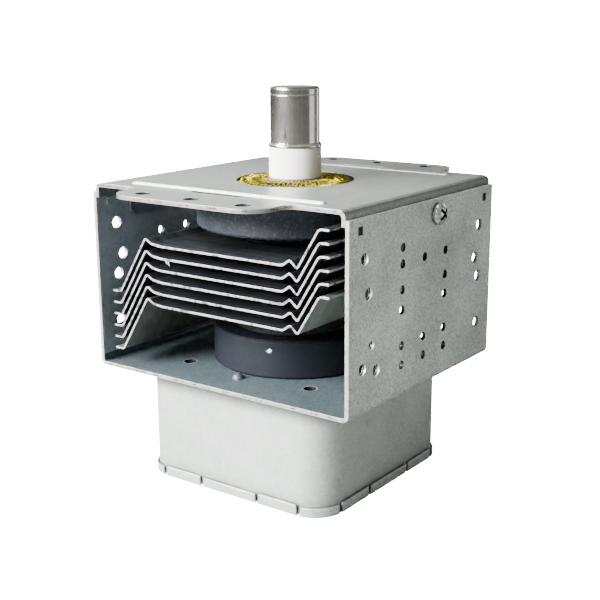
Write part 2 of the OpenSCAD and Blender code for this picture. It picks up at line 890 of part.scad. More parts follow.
// Notch of one strap in both edges of a vane, between two radii
module strap_notch(r_in, r_out, depth) {
    for (edge = [-1, 1])
        translate([r_in, -vane_t, edge * (vane_h / 2 - depth / 2 + cut / 2) - (depth + cut) / 2])
            cube([r_out - r_in, 2 * vane_t, depth + cut]);
}

module anode_vanes() {
    split_r = strap_out_r - strap_gap / 2;
    color("#b87333")
    translate([0, 0, anode_mid_z])
        for (i = [0 : vane_count - 1])
            rotate([0, 0, 360 * i / vane_count])
                difference() {
                    intersection() {
                        translate([0, -vane_t / 2, -vane_h / 2])
                            cube([anode_r, vane_t, vane_h]);
                        difference() {
                            cylinder(r = anode_in_r - braze_gap, h = vane_h + cut, center = true);
                            cylinder(d = vane_bore_d, h = vane_h + 2 * cut, center = true);
                        }
                    }
                    strap_notch(strap_in_r - strap_side_gap, split_r, strap_groove + (i % 2) * strap_clear);
                    strap_notch(split_r, strap_out_r + strap_w + strap_side_gap,
                                strap_groove + (1 - i % 2) * strap_clear);
                }
}

module strap_rings() {
    rest = vane_h / 2 - strap_groove;
    color("#c08a5a")
    translate([0, 0, anode_mid_z])
        for (r = [strap_in_r, strap_out_r], z = [rest, -rest - strap_h])
            translate([0, 0, z])
                difference() {
                    cylinder(r = r + strap_w, h = strap_h);
                    translate([0, 0, -cut])
                        cylinder(r = r, h = strap_h + 2 * cut);
                }
}

// Middle line of a fin from its left flange to its right flange, plane at Z = 0
function fin_line() =
    let (
        run = 1 / tan(fin_slope),
        left_foot = -fin_end_x + fin_flange,
        left_peak = left_foot + (fin_left_drop + fin_bump) * run,
        right_top = fin_end_x - fin_flange,
        right_dip = right_top - (fin_right_rise + fin_dip) * run,
        right_peak = right_dip - fin_bump_run
    )
    [
        [-fin_end_x, -fin_left_drop], [left_foot, -fin_left_drop], [left_peak, fin_bump],
        [left_peak + fin_bump_run, fin_step], [left_peak + fin_bump_run + fin_ease_run, 0],
        [right_peak - fin_bump_run, 0], [right_peak, fin_bump], [right_dip, -fin_dip],
        [right_top, fin_right_rise], [fin_end_x, fin_right_rise]
    ];

module cooling_fin(i) {
    plane_z = anode_top_z - fin_top_drop - (i - 1) * fin_pitch;
    color("#c8cccf")
    translate([0, 0, plane_z])
        difference() {
            union() {
                rotate([90, 0, 0])
                    linear_extrude(yoke_d - 2 * fin_y_gap, center = true)
                        polygon(strip(eased(fin_line(), fin_bend, bend_steps), fin_t));
                translate([0, 0, -fin_collar - fin_t / 2])
                    cylinder(d = fin_hole_d + 2 * fin_t, h = fin_collar + fin_t / 2);
            }
            translate([0, 0, -fin_collar - cut])
                cylinder(d = fin_hole_d, h = fin_collar + 2 * cut);
        }
}

module filament() {
    low = anode_mid_z - vane_h / 2 + filament_wire / 2 + braze_gap;
    span = vane_h - filament_wire - 2 * braze_gap;
    steps = filament_turns * wire_steps;
    path = [for (i = [0 : steps])
        let (a = 360 * i / wire_steps)
        [filament_d / 2 * cos(a), filament_d / 2 * sin(a), low + span * i / steps]];
    color("#6f7276")
        wire(path, filament_wire / 2, [0, 0, 1]);
}

module upper_end_hat() {
    color("#8a8c90")
        translate([0, 0, vane_top_z])
            difference() {
                cylinder(d = hat_d, h = hat_t);
                translate([0, 0, -cut])
                    cylinder(d = lead_d + 2 * slide_gap, h = hat_t + 2 * cut);
            }
}

module lower_end_hat() {
    color("#8a8c90")
        translate([0, 0, vane_top_z - vane_h - hat_t])
            difference() {
                cylinder(d = hat_d, h = hat_t);
                translate([0, 0, -cut])
                    cylinder(d = lead_d + 2 * strap_clear, h = hat_t + 2 * cut);
            }
}

module center_lead() {
    color("#8a8c90")
        translate([0, 0, lead_end_z])
            cylinder(d = lead_d, h = vane_top_z + hat_t - lead_end_z);
}

module side_lead() {
    color("#8a8c90")
        translate([-side_lead_x, 0, lead_end_z])
            cylinder(d = lead_d, h = vane_top_z - vane_h - hat_t - lead_end_z);
}

module input_seal_cup() {
    color("#a9acab")
        translate([0, 0, lower_pole_z])
            mirror([0, 0, 1])
                rotate_extrude()
                    seal_cup_section(seal_tube_d, lower_pole_z - stem_top_z);
}

module stem_ceramic() {
    color("#efe9e2")
        translate([0, 0, stem_bottom_z])
            difference() {
                cylinder(d = stem_d, h = stem_len);
                for (x = [0, -side_lead_x])
                    translate([x, 0, -cut])
                        cylinder(d = lead_d + 2 * slide_gap, h = stem_len + 2 * cut);
            }
}

// Two flat lugs under the stem, one for each lead, reaching out to the choke wires
module stem_lugs() {
    reach = choke_inner_x + wire_r + lug_margin;
    split = lead_d / 2 + lug_margin;
    front = choke_start_y - wire_r - lug_margin;
    back = lead_d / 2 + lug_back;
    color("#b5b3ad")
    difference() {
        for (span = [[-split, reach], [-reach, -side_lead_x + split]])
            translate([span[0], front, lug_bottom_z])
                cube([span[1] - span[0], back - front, lug_t]);
        for (x = [0, -side_lead_x])
            translate([x, 0, lug_bottom_z - cut])
                cylinder(d = lead_d + 2 * slide_gap, h = lug_t + 2 * cut);
    }
}

// Rounded opening for the capacitor body, cut along Y
module capacitor_outline(gap) {
    oval(cap_body_w + 2 * gap, cap_body_h + 2 * gap);
}

module capacitor_rivet_holes(depth) {
    for (x = [-1, 1])
        translate([x * cap_rivet_x, box_w / 2 + depth, blade_z])
            rotate([90, 0, 0])
                cylinder(d = rivet_d + 2 * slide_gap, h = 2 * depth);
}

module filter_box() {
    outer_h = box_top_z - box_bottom_z;
    color("#d3d7d5")
    difference() {
        translate([0, 0, box_bottom_z])
            difference() {
                drawn_block(box_w, box_corner_r, outer_h, box_fillet_r);
                translate([0, 0, -cut])
                    drawn_block(2 * box_in, box_corner_r - box_t, outer_h - box_t + cut, box_fillet_r - box_t);
            }
        translate([0, 0, box_top_z - box_t - cut])
            cylinder(d = tube_hole_d, h = box_t + 2 * cut);
        for (x = [-1, 1], y = [-1, 1])
            translate([x * rivet_collar_x, y * rivet_collar_y, box_top_z - box_t - cut])
                cylinder(d = rivet_collar_hole_d + 2 * rivet_collar_wall + 2 * slide_gap, h = box_t + 2 * cut);
        translate([0, box_w / 2 + cut, blade_z])
            rotate([90, 0, 0])
                linear_extrude(box_t + 2 * cut)
                    capacitor_outline(slide_gap);
        capacitor_rivet_holes(box_t + cut);
    }
}

module filter_lid() {
    in_w = box_w + 2 * slide_gap;
    out_w = in_w + 2 * lid_t;
    in_r = box_corner_r + slide_gap;
    corner_x = out_w / 2 - in_r - lid_t + lid_corner_over;
    color("#d3d7d5")
    difference() {
        translate([0, 0, lid_bottom_z])
            union() {
                linear_extrude(lid_t)
                    rounded_rect(out_w, out_w, in_r + lid_t);
                linear_extrude(lid_skirt_h)
                    difference() {
                        rounded_rect(out_w, out_w, in_r + lid_t);
                        rounded_rect(in_w, in_w, in_r);
                    }
            }
        for (turn = [0, 90, 180, 270])
            rotate([0, 0, turn])
                for (x = [-corner_x, -lid_segment / 2, lid_segment / 2, corner_x])
                    translate([x - lid_slit_w / 2, -out_w / 2 - cut, box_bottom_z])
                        cube([lid_slit_w, lid_t + 2 * cut, lid_skirt_h]);
    }
}

// Choke wire: down from its lug, round the coil, then on down beside its blade
module choke_coil(side) {
    steps = choke_turns * wire_steps;
    r = choke_d / 2;
    path = concat(
        [[-r, choke_start_y, lug_bottom_z - slide_gap - choke_z], [-r, choke_start_y, wire_r]],
        [for (i = [0 : steps])
            let (a = 180 + 360 * i / wire_steps)
            [r * cos(a), choke_start_y + choke_pitch * i / wire_steps, r * sin(a)]],
        [[-r, choke_end_y, -wire_r], [-r, choke_end_y, blade_z - blade_w / 2 + wire_r - choke_z]]
    );
    color("#9a5a2c")
        translate([side * choke_x, 0, choke_z])
            mirror([side < 0 ? 1 : 0, 0, 0])
                wire(path, wire_r, [0, 1, 0]);
}

module choke_core(side) {
    span = choke_end_y - choke_start_y + 2 * choke_core_over;
    color("#4a4a4c")
        translate([side * choke_x, choke_start_y - choke_core_over, choke_z])
            rotate([-90, 0, 0])
                cylinder(d = choke_core_d, h = span);
}

module capacitor_body() {
    color("#3f6b8a")
    difference() {
        translate([0, box_w / 2 + cap_nose, blade_z])
            rotate([90, 0, 0])
                linear_extrude(cap_nose + cap_tail)
                    capacitor_outline(0);
        for (x = [-1, 1])
            translate([x * blade_pitch / 2, box_w / 2, blade_z])
                cube([blade_t + 2 * braze_gap, 4 * cap_tail, blade_w + 2 * braze_gap], center = true);
    }
}

module capacitor_flange() {
    color("#c4c8c6")
    difference() {
        translate([0, box_w / 2 + cap_flange_t, blade_z])
            rotate([90, 0, 0])
                linear_extrude(cap_flange_t)
                    difference() {
                        rounded_rect(cap_flange_w, cap_flange_h, cap_flange_r);
                        capacitor_outline(slide_gap);
                    }
        capacitor_rivet_holes(cap_flange_t + cut);
    }
}

module capacitor_blades() {
    chamfer = 1.2;
    y_end = box_w / 2 + blade_reach;
    hole_d = 1.7;
    hole_inset = 4.2;
    color("#c9c7c0")
    for (x = [-1, 1])
        translate([x * blade_pitch / 2 - blade_t / 2, 0, blade_z])
            rotate([90, 0, 90])
                linear_extrude(blade_t)
                    difference() {
                        polygon([
                            [blade_start_y, -blade_w / 2], [y_end - chamfer, -blade_w / 2],
                            [y_end, -blade_w / 2 + chamfer], [y_end, blade_w / 2 - chamfer],
                            [y_end - chamfer, blade_w / 2], [blade_start_y, blade_w / 2]
                        ]);
                        translate([y_end - hole_inset, 0])
                            circle(d = hole_d);
                    }
}

module capacitor_rivets() {
    grip = cap_flange_t + box_t;
    color("#b9bcbb")
    for (x = [-1, 1])
        translate([x * cap_rivet_x, box_w / 2 + cap_flange_t, blade_z])
            rotate([90, 0, 0]) {
                cylinder(d = rivet_d, h = grip);
                translate([0, 0, -rivet_head_h])
                    cylinder(d1 = rivet_d, d2 = rivet_head_d, h = rivet_head_h);
                translate([0, 0, grip])
                    cylinder(d1 = rivet_head_d, d2 = rivet_d, h = rivet_head_h);
            }
}

yoke_frame();
mounting_plate();
yoke_screws();
rf_gasket();
output_seal_cup();
output_ceramic();
output_top_seal();
exhaust_tube();
antenna_lead();
antenna_cap();
upper_magnet();
lower_magnet();
upper_pole_piece();
lower_pole_piece();
anode_cylinder();
anode_vanes();
strap_rings();
cooling_fin(1);  // cooling_fin_1
cooling_fin(2);  // cooling_fin_2
cooling_fin(3);  // cooling_fin_3
cooling_fin(4);  // cooling_fin_4
cooling_fin(5);  // cooling_fin_5
cooling_fin(6);  // cooling_fin_6
filament();
upper_end_hat();
lower_end_hat();
center_lead();
side_lead();
input_seal_cup();
stem_ceramic();
stem_lugs();
filter_box();
filter_lid();
choke_coil(-1);  // choke_coil_left
choke_coil(1);  // choke_coil_right
choke_core(-1);  // choke_core_left
choke_core(1);  // choke_core_right
capacitor_body();
capacitor_flange();
capacitor_blades();
capacitor_rivets();
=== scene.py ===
"""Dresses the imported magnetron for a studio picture.

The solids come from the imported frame. This script gives each of them its finish, makes the pieces
that are finer than the solids carry, and sets the camera, the lights and the floor. Everything is
in metres, in the frame of the solids: origin on the antenna axis at the mounting face, Z up.
"""

import logging
import math
from dataclasses import dataclass, field, replace
from enum import Enum

import bpy
import numpy as np
from mathutils import Matrix, Vector


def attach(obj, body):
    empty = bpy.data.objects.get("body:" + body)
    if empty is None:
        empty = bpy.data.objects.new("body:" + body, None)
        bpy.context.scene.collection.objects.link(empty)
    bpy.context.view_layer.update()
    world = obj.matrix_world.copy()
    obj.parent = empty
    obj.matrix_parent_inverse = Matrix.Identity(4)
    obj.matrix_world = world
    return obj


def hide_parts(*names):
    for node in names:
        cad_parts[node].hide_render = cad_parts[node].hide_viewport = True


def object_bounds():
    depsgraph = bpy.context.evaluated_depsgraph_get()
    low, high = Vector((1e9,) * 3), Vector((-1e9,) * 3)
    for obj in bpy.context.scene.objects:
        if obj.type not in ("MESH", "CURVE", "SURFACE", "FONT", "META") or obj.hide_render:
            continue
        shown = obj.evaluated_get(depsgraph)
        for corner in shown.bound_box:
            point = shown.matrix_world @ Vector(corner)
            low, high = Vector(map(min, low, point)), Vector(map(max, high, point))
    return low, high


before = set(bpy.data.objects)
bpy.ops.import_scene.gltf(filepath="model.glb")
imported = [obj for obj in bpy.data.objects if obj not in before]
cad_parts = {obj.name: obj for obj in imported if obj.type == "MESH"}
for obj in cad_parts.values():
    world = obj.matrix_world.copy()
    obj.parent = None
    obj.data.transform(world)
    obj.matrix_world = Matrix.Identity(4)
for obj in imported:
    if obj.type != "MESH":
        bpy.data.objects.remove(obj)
CAD_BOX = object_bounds()
LOG = logging.getLogger("magnetron")
MM = 0.001
BODY = "root"
FAR = 1.0
FRONT_FROM = 40.0 * MM
FLECK_RANGE = (0.2, 0.8)
# Rightward in the camera's view, in plan: the painted shade on the ferrites and the ceramic darkens along it.
PICTURE_RIGHT = (0.804, 0.595, 0.0)

Triple = tuple[float, float, float]
Colour = Triple
Tree = bpy.types.NodeTree
Material = bpy.types.Material
Socket = bpy.types.NodeSocket
Sockets = bpy.types.bpy_prop_collection
Plug = float | tuple | Socket


class Shader:
    """Short calls that add and join the nodes of one tree."""

    def __init__(self, tree: Tree) -> None:
        """Starts work on the tree of a material, a world or a group."""
        self.tree = tree

    def plug(self, socket: Socket, value: Plug) -> None:
        """Links a socket to an input, or sets the input's own value.

        Args:
            socket: the input that is fed.
            value: an output socket, a number, a colour or a vector.
        """
        if isinstance(value, Socket):
            self.tree.links.new(value, socket)
        elif socket.type == "RGBA" and len(value) == 3:
            socket.default_value = (*value, 1.0)
        else:
            socket.default_value = value

    def add(
        self, kind: str, plugs: dict[str | int, Plug] | None = None, **settings: object
    ) -> bpy.types.Node:
        """Adds one node.

        Args:
            kind: Blender's name of the shader node type, without its prefix.
            plugs: values for its inputs, by name or number.
            **settings: the node's own properties.

        Returns:
            The new node.
        """
        node = self.tree.nodes.new("ShaderNode" + kind)
        for name, value in settings.items():
            setattr(node, name, value)
        for name, value in (plugs or {}).items():
            self.plug(node.inputs[name], value)
        return node

    def math(self, operation: str, *terms: Plug) -> Socket:
        """Joins one, two or three numbers by an operation that Blender names."""
        return self.add("Math", dict(enumerate(terms)), operation=operation).outputs[0]

    def size(self, value: Plug) -> Socket:
        """Drops a number's sign."""
        return self.math("ABSOLUTE", value)

    def times(self, first: Plug, second: Plug) -> Socket:
        """Multiplies two numbers."""
        return self.math("MULTIPLY", first, second)

    def vector(self, operation: str, *terms: Plug) -> Socket:
        """Joins vectors by an operation that Blender names; a product or a length is a number."""
        node = self.add("VectorMath", dict(enumerate(terms)), operation=operation)
        return node.outputs["Value" if operation in ("DOT_PRODUCT", "LENGTH", "DISTANCE") else "Vector"]

    def dot(self, first: Plug, second: Plug) -> Socket:
        """Multiplies two vectors to a number."""
        return self.vector("DOT_PRODUCT", first, second)

    def scaled(self, colour: Plug, factor: Plug) -> Socket:
        """Multiplies a colour by a number."""
        return self.add("VectorMath", {0: colour, "Scale": factor}, operation="SCALE").outputs["Vector"]

    def split(self, value: Plug) -> Sockets:
        """Takes a vector apart into its X, Y and Z."""
        return self.add("SeparateXYZ", {0: value}).outputs

    def place(self) -> Socket:
        """Returns the point on the surface."""
        return self.add("TexCoord").outputs["Object"]

    def mix(self, share: Plug, low: Plug, high: Plug) -> Socket:
        """Mixes two colours, with a share of the second from 0 to 1."""
        return self.add("Mix", {0: share, 6: low, 7: high}, data_type="RGBA").outputs[2]

    def spread(self, value: Plug, low: float, high: float, to_low: Plug = 0.0, to_high: Plug = 1.0) -> Socket:
        """Stretches the range from low to high onto another one, held at its ends."""
        return self.add("MapRange", {0: value, 1: low, 2: high, 3: to_low, 4: to_high}).outputs[0]

    def noise(self, vector: Plug, scale: Plug, detail: float = 2.0, roughness: float = 0.5) -> Socket:
        """Adds cloudy noise, about 0.5 on average; the scale is clouds per metre."""
        plugs = {"Vector": vector, "Scale": scale, "Detail": detail, "Roughness": roughness}
        return self.add("TexNoise", plugs).outputs["Fac"]

    def effect(self, effect: "Effect", plugs: dict[str, Plug] | None = None) -> Sockets:
        """Places a shared effect and returns its outputs."""
        return self.add("Group", plugs, node_tree=effect.tree()).outputs


class Effect(Enum):
    """Effects that several finishes share, each a shader node group."""

    BLOOM = "zinc_bloom"
    GRAIN = "rolled_grain"
    CUT = "cut_edge"
    MARKS = "handling_marks"
    SOFT = "soft_edge"
    # Painted shade in corners, recesses and gaps.
    OCCLUSION_SHADE = "painted_occlusion_shade"

    def tree(self) -> Tree:
        """Finds the group, or makes it on first use.

        Returns:
            The group's tree.
        """
        tree = bpy.data.node_groups.get(self.value)
        if tree is None:
            tree = bpy.data.node_groups.new(self.value, "ShaderNodeTree")
            EFFECT_MAKERS[self](tree)
        return tree


def group_ends(
    tree: Tree, inputs: dict[str, float | Triple], outputs: tuple[str, ...]
) -> tuple[Shader, Sockets, Sockets]:
    """Gives a group its named sockets.

    Args:
        tree: the empty group.
        inputs: socket name to its own value, a number or a vector.
        outputs: socket names, all numbers but the one named Normal.

    Returns:
        The group's shader helper, and the sockets that its nodes take from and feed.
    """
    kinds = {float: "NodeSocketFloat", tuple: "NodeSocketVector"}
    for name, value in inputs.items():
        socket = tree.interface.new_socket(name=name, in_out="INPUT", socket_type=kinds[type(value)])
        socket.default_value = value
    for name in outputs:
        kind = kinds[tuple if name == "Normal" else float]
        tree.interface.new_socket(name=name, in_out="OUTPUT", socket_type=kind)
    start, end = (tree.nodes.new(kind) for kind in ("NodeGroupInput", "NodeGroupOutput"))
    return Shader(tree), start.outputs, end.inputs


def make_bloom(tree: Tree) -> None:
    """Clouds and flecks of a zinc or tin coat: soft noise, and cells of random tone.

    Args:
        tree: the empty group.
    """
    s, start, end = group_ends(tree, {"Cloud Scale": 60.0, "Fleck Scale": 900.0}, ("Cloud", "Fleck"))
    place = s.place()
    cloud = s.noise(place, start["Cloud Scale"], 4.0, 0.6)
    s.plug(end["Cloud"], s.spread(cloud, 0.32, 0.68))
    warp = s.add("TexNoise", {"Vector": place, "Scale": start["Fleck Scale"], "Detail": 1.0})
    bent = s.vector("MULTIPLY_ADD", warp.outputs["Color"], (1.2 * MM, 1.2 * MM, 1.2 * MM), place)
    cells = s.add("TexVoronoi", {"Vector": bent, "Scale": start["Fleck Scale"]})
    tone = s.add("SeparateColor", {0: cells.outputs["Color"]}).outputs[0]
    fine = s.noise(place, s.times(start["Fleck Scale"], 2.3))
    s.plug(end["Fleck"], s.math("ADD", s.times(tone, 0.6), s.times(fine, 0.4)))


def make_grain(tree: Tree) -> None:
    """Fine lines of rolled or brushed metal: noise stretched along one direction.

    Args:
        tree: the empty group.
    """
    s, start, end = group_ends(tree, {"Stretch": (20.0, 1500.0, 1500.0)}, ("Line",))
    drawn = s.vector("MULTIPLY", s.place(), start["Stretch"])
    s.plug(end["Line"], s.spread(s.noise(drawn, 1.0, 3.0, 0.65), 0.28, 0.72))


def make_cut(tree: Tree) -> None:
    """Masks of the sheared faces of a sheet, and of the walls of its punched holes.

    A face is sheared where its normal lies along Y at the part's front and back, or where it is square
    to the sheet's own normal in a band of distances from the middle of the part. A hole's wall is
    square to the sheet and lies in a box round the part's axis.

    Args:
        tree: the empty group.
    """
    s, start, end = group_ends(
        tree,
        {"Sheet Normal": (0.0, 0.0, 1.0), "Band Low": 0.0, "Band High": 0.0, "Hole Reach": (0.0, 0.0, 0.0)},
        ("Mask", "Hole"),
    )
    away = s.split(s.vector("ABSOLUTE", s.place()))
    reach = s.split(start["Hole Reach"])
    normal = s.add("NewGeometry").outputs["True Normal"]
    along = s.size(s.dot(normal, (0.0, 1.0, 0.0)))
    outer = s.math("GREATER_THAN", away["Y"], FRONT_FROM)
    front = s.times(s.math("GREATER_THAN", along, 0.9), outer)
    steep = s.size(s.dot(normal, start["Sheet Normal"]))
    square = s.math("LESS_THAN", steep, 0.5)
    beyond = s.math("GREATER_THAN", away["X"], start["Band Low"])
    within = s.math("LESS_THAN", away["X"], start["Band High"])
    banded = s.times(square, s.times(beyond, within))
    s.plug(end["Mask"], s.math("MAXIMUM", front, banded))
    in_x = s.math("LESS_THAN", away["X"], reach["X"])
    in_y = s.math("LESS_THAN", away["Y"], reach["Y"])
    s.plug(end["Hole"], s.times(square, s.times(in_x, in_y)))


def make_marks(tree: Tree) -> None:
    """Handling marks: sparse smudges, and short scratches from thin bands of stretched noise.

    Args:
        tree: the empty group.
    """
    s, _, end = group_ends(tree, {}, ("Smudge", "Scratch"))
    place = s.place()
    s.plug(end["Smudge"], s.spread(s.noise(place, 45.0, 5.0, 0.65), 0.58, 0.72))
    turned = s.add("Mapping", {"Vector": place, "Rotation": (0.5, 0.35, 0.9), "Scale": (1.0, 14.0, 9.0)})
    ridge = s.size(s.math("SUBTRACT", s.noise(turned.outputs[0], 55.0), 0.5))
    patch = s.spread(s.noise(place, 38.0), 0.56, 0.66)
    s.plug(end["Scratch"], s.times(s.spread(ridge, 0.0, 0.006, 1.0, 0.0), patch))


def make_soft(tree: Tree) -> None:
    """Normal that rounds off sharp edges by a small radius, and a mask of those edges.

    Args:
        tree: the empty group.
    """
    s, start, end = group_ends(tree, {"Radius": 0.2 * MM}, ("Normal", "Edge"))
    bevel = s.add("Bevel", {"Radius": start["Radius"]}, samples=6).outputs[0]
    flat = s.add("NewGeometry").outputs["Normal"]
    s.plug(end["Normal"], bevel)
    s.plug(end["Edge"], s.spread(s.dot(bevel, flat), 0.985, 0.80))


def make_occlusion_shade(tree: Tree) -> None:
    """Painted shade: a mask of how much of the space near a point is shut, which darkens corners, recesses
    and gaps where shade falls.

    Args:
        tree: the empty group.
    """
    s, start, end = group_ends(tree, {"Reach": 2.0 * MM}, ("Painted Shade",))
    open_share = s.add("AmbientOcclusion", {"Distance": start["Reach"]}, samples=8).outputs["AO"]
    s.plug(end["Painted Shade"], s.spread(open_share, 0.45, 0.97, 1.0, 0.0))


EFFECT_MAKERS = {
    Effect.BLOOM: make_bloom,
    Effect.GRAIN: make_grain,
    Effect.CUT: make_cut,
    Effect.MARKS: make_marks,
    Effect.SOFT: make_soft,
    Effect.OCCLUSION_SHADE: make_occlusion_shade,
}


class Canvas(Shader):
    """The shader of a new material, with the effects that every finish starts from."""

    def __init__(self, name: str, cloud_scale: float, fleck_scale: float, edge_radius: float) -> None:
        """Makes the material.

        Args:
            name: its name.
            cloud_scale: clouds per metre.
            fleck_scale: flecks per metre.
            edge_radius: how far sharp edges are rounded off.
        """
        self.material = bpy.data.materials.new(name)
        self.material.use_nodes = True
        super().__init__(self.material.node_tree)
        self.surface = self.tree.nodes["Principled BSDF"].inputs
        self.here = self.place()
        self.bloom = self.effect(Effect.BLOOM, {"Cloud Scale": cloud_scale, "Fleck Scale": fleck_scale})
        self.soft = self.effect(Effect.SOFT, {"Radius": edge_radius})

    def finish(self, colour: Plug, rough: Plug, height: Plug, relief: float) -> Material:
        """Joins the results to the surface.

        Args:
            colour: the surface's colour.
            rough: its roughness.
            height: its relief, 0 to 1.
            relief: how high that is.

        Returns:
            The material.
        """
        relief_plugs = {"Height": height, "Normal": self.soft["Normal"], "Strength": 1.0, "Distance": relief}
        self.plug(self.surface["Base Color"], colour)
        self.plug(self.surface["Roughness"], rough)
        self.plug(self.surface["Normal"], self.add("Bump", relief_plugs).outputs[0])
        return self.material


class Grain(Enum):
    """Direction of a metal's fine lines, as a stretch of the noise along X, Y and Z."""

    NONE = None
    ACROSS = (10.0, 300.0, 45.0)
    INWARD = (900.0, 16.0, 900.0)
    UPRIGHT = (1500.0, 1500.0, 22.0)


@dataclass(frozen=True)
class Shear:
    """Where a sheet shows sheared faces and hole walls."""

    sheet_normal: Triple
    band_low: float
    band_high: float
    hole_reach: Triple = (0.0, 0.0, 0.0)


class Cut(Enum):
    """Sheets that show their sheared edges."""

    NONE = None
    PLATE = Shear((0.0, 0.0, 1.0), 0.0, 44.9 * MM, (21.5 * MM, 53.0 * MM, 0.0))
    YOKE = Shear((1.0, 0.0, 0.0), 0.0, 0.0)
    FIN = Shear((0.0, 0.0, 1.0), 40.7 * MM, 42.0 * MM)


@dataclass(frozen=True)
class Zone:
    """A box of space where a coat has another tone, repeated in mirror image across the part's middle."""

    low: Triple
    high: Triple
    tone: Colour
    fleck: float = 0.0
    mirrored: bool = True
    metallic: float | None = None

    def mask(self, s: Canvas) -> Socket:
        """Marks the points in the box.

        Args:
            s: the material's shader.

        Returns:
            The mask's socket, 1 inside.
        """
        axes = s.split(s.here)
        mask = 1.0
        for axis, low, high in zip("XYZ", self.low, self.high):
            value = axes[axis]
            if self.mirrored and axis != "Z":
                value = s.size(value)
            mask = s.times(mask, s.math("COMPARE", value, (low + high) / 2.0, (high - low) / 2.0))
        return mask


@dataclass(frozen=True)
class Bores:
    """Four round holes at mirror places: painted shade down their inside and a painted highlight round their
    rims.
    """

    x: float
    y: float
    radius: float
    tone: Colour
    rim_w: float
    rim_highlight_tone: Colour

    def paint(self, s: Canvas, colour: Plug) -> Socket:
        """Colours the holes and their rims.

        Args:
            s: the material's shader.
            colour: the coat's colour.

        Returns:
            The new colour's socket.
        """
        flat = s.vector("MULTIPLY", s.vector("ABSOLUTE", s.here), (1.0, 1.0, 0.0))
        away = s.vector("DISTANCE", flat, (self.x, self.y, 0.0))
        rim = s.spread(away, self.radius + 0.5 * self.rim_w, self.radius + self.rim_w, 1.0, 0.0)
        colour = s.mix(rim, colour, self.rim_highlight_tone)
        return s.mix(s.math("LESS_THAN", away, self.radius), colour, self.tone)


@dataclass(frozen=True)
class ShadeRamp:
    """Painted shade: a coat made darker along one direction, as light falls off, down to a share of its tone.
    """

    axis: Triple
    low: float
    high: float
    share: float = 0.0

    def light(self, s: Canvas) -> Socket:
        """Returns the factor on the tone, 1 before the painted shade and its share after it."""
        return s.spread(s.dot(s.here, self.axis), self.low, self.high, 1.0, self.share)


@dataclass(frozen=True)
class Fracture:
    """The rough line along the middle of a level sheet's sheared edge: how far off the sheet's faces are."""

    low: float
    high: float

    def mask(self, s: Canvas, torn: Plug) -> Socket:
        """Marks an uneven line between the two faces.

        Args:
            s: the material's shader.
            torn: noise that bends the line.

        Returns:
            The mask's socket, 1 in the line.
        """
        depth = s.spread(s.size(s.split(s.here)["Z"]), self.low, self.high)
        bent = s.math("ADD", depth, s.spread(torn, 0.3, 0.7, -0.25, 0.25))
        line = s.spread(s.size(s.math("SUBTRACT", bent, 0.6)), 0.08, 0.24, 1.0, 0.0)
        return s.times(line, s.spread(torn, 0.44, 0.62, 0.12, 1.0))


@dataclass(frozen=True)
class BeadHighlight:
    """A painted highlight along the two pressed beads: its distance from the middle, width and length."""

    offset: float
    half_w: float
    half_len: float
    tone: Colour
    end_w: float = 0.4 * MM
    above: float = 0.05 * MM

    def mask(self, s: Canvas) -> Socket:
        """Marks a soft strip on each bead.

        Args:
            s: the material's shader.

        Returns:
            The mask's socket, 1 in the middle of a strip.
        """
        axes = s.split(s.here)
        away = s.size(s.math("SUBTRACT", s.size(axes["Y"]), self.offset))
        strip = s.spread(away, 0.7 * self.half_w, self.half_w, 1.0, 0.0)
        ends = s.spread(s.size(axes["X"]), self.half_len - self.end_w, self.half_len, 1.0, 0.0)
        return s.times(strip, s.times(ends, s.math("GREATER_THAN", axes["Z"], self.above)))


@dataclass(frozen=True)
class Crease:
    """A shallow upright pinch in a round wall."""

    centre: Triple
    side: Triple
    half_w: float
    half_h: float
    depth: float

    def height(self, s: Canvas) -> Socket:
        """Works out the pinch: a ridge that fades to both sides and at both ends.

        Args:
            s: the material's shader.

        Returns:
            The height's socket, 0 to 1.
        """
        offset = s.vector("SUBTRACT", s.here, self.centre)
        across = s.size(s.dot(offset, self.side))
        rise = s.size(s.split(offset)["Z"])
        near = s.math("LESS_THAN", s.vector("LENGTH", offset), 2.0 * self.half_h)
        ridge = s.times(s.spread(across, 0.0, self.half_w, 1.0, 0.0), near)
        return s.times(ridge, s.spread(rise, 0.3 * self.half_h, self.half_h, 1.0, 0.0))


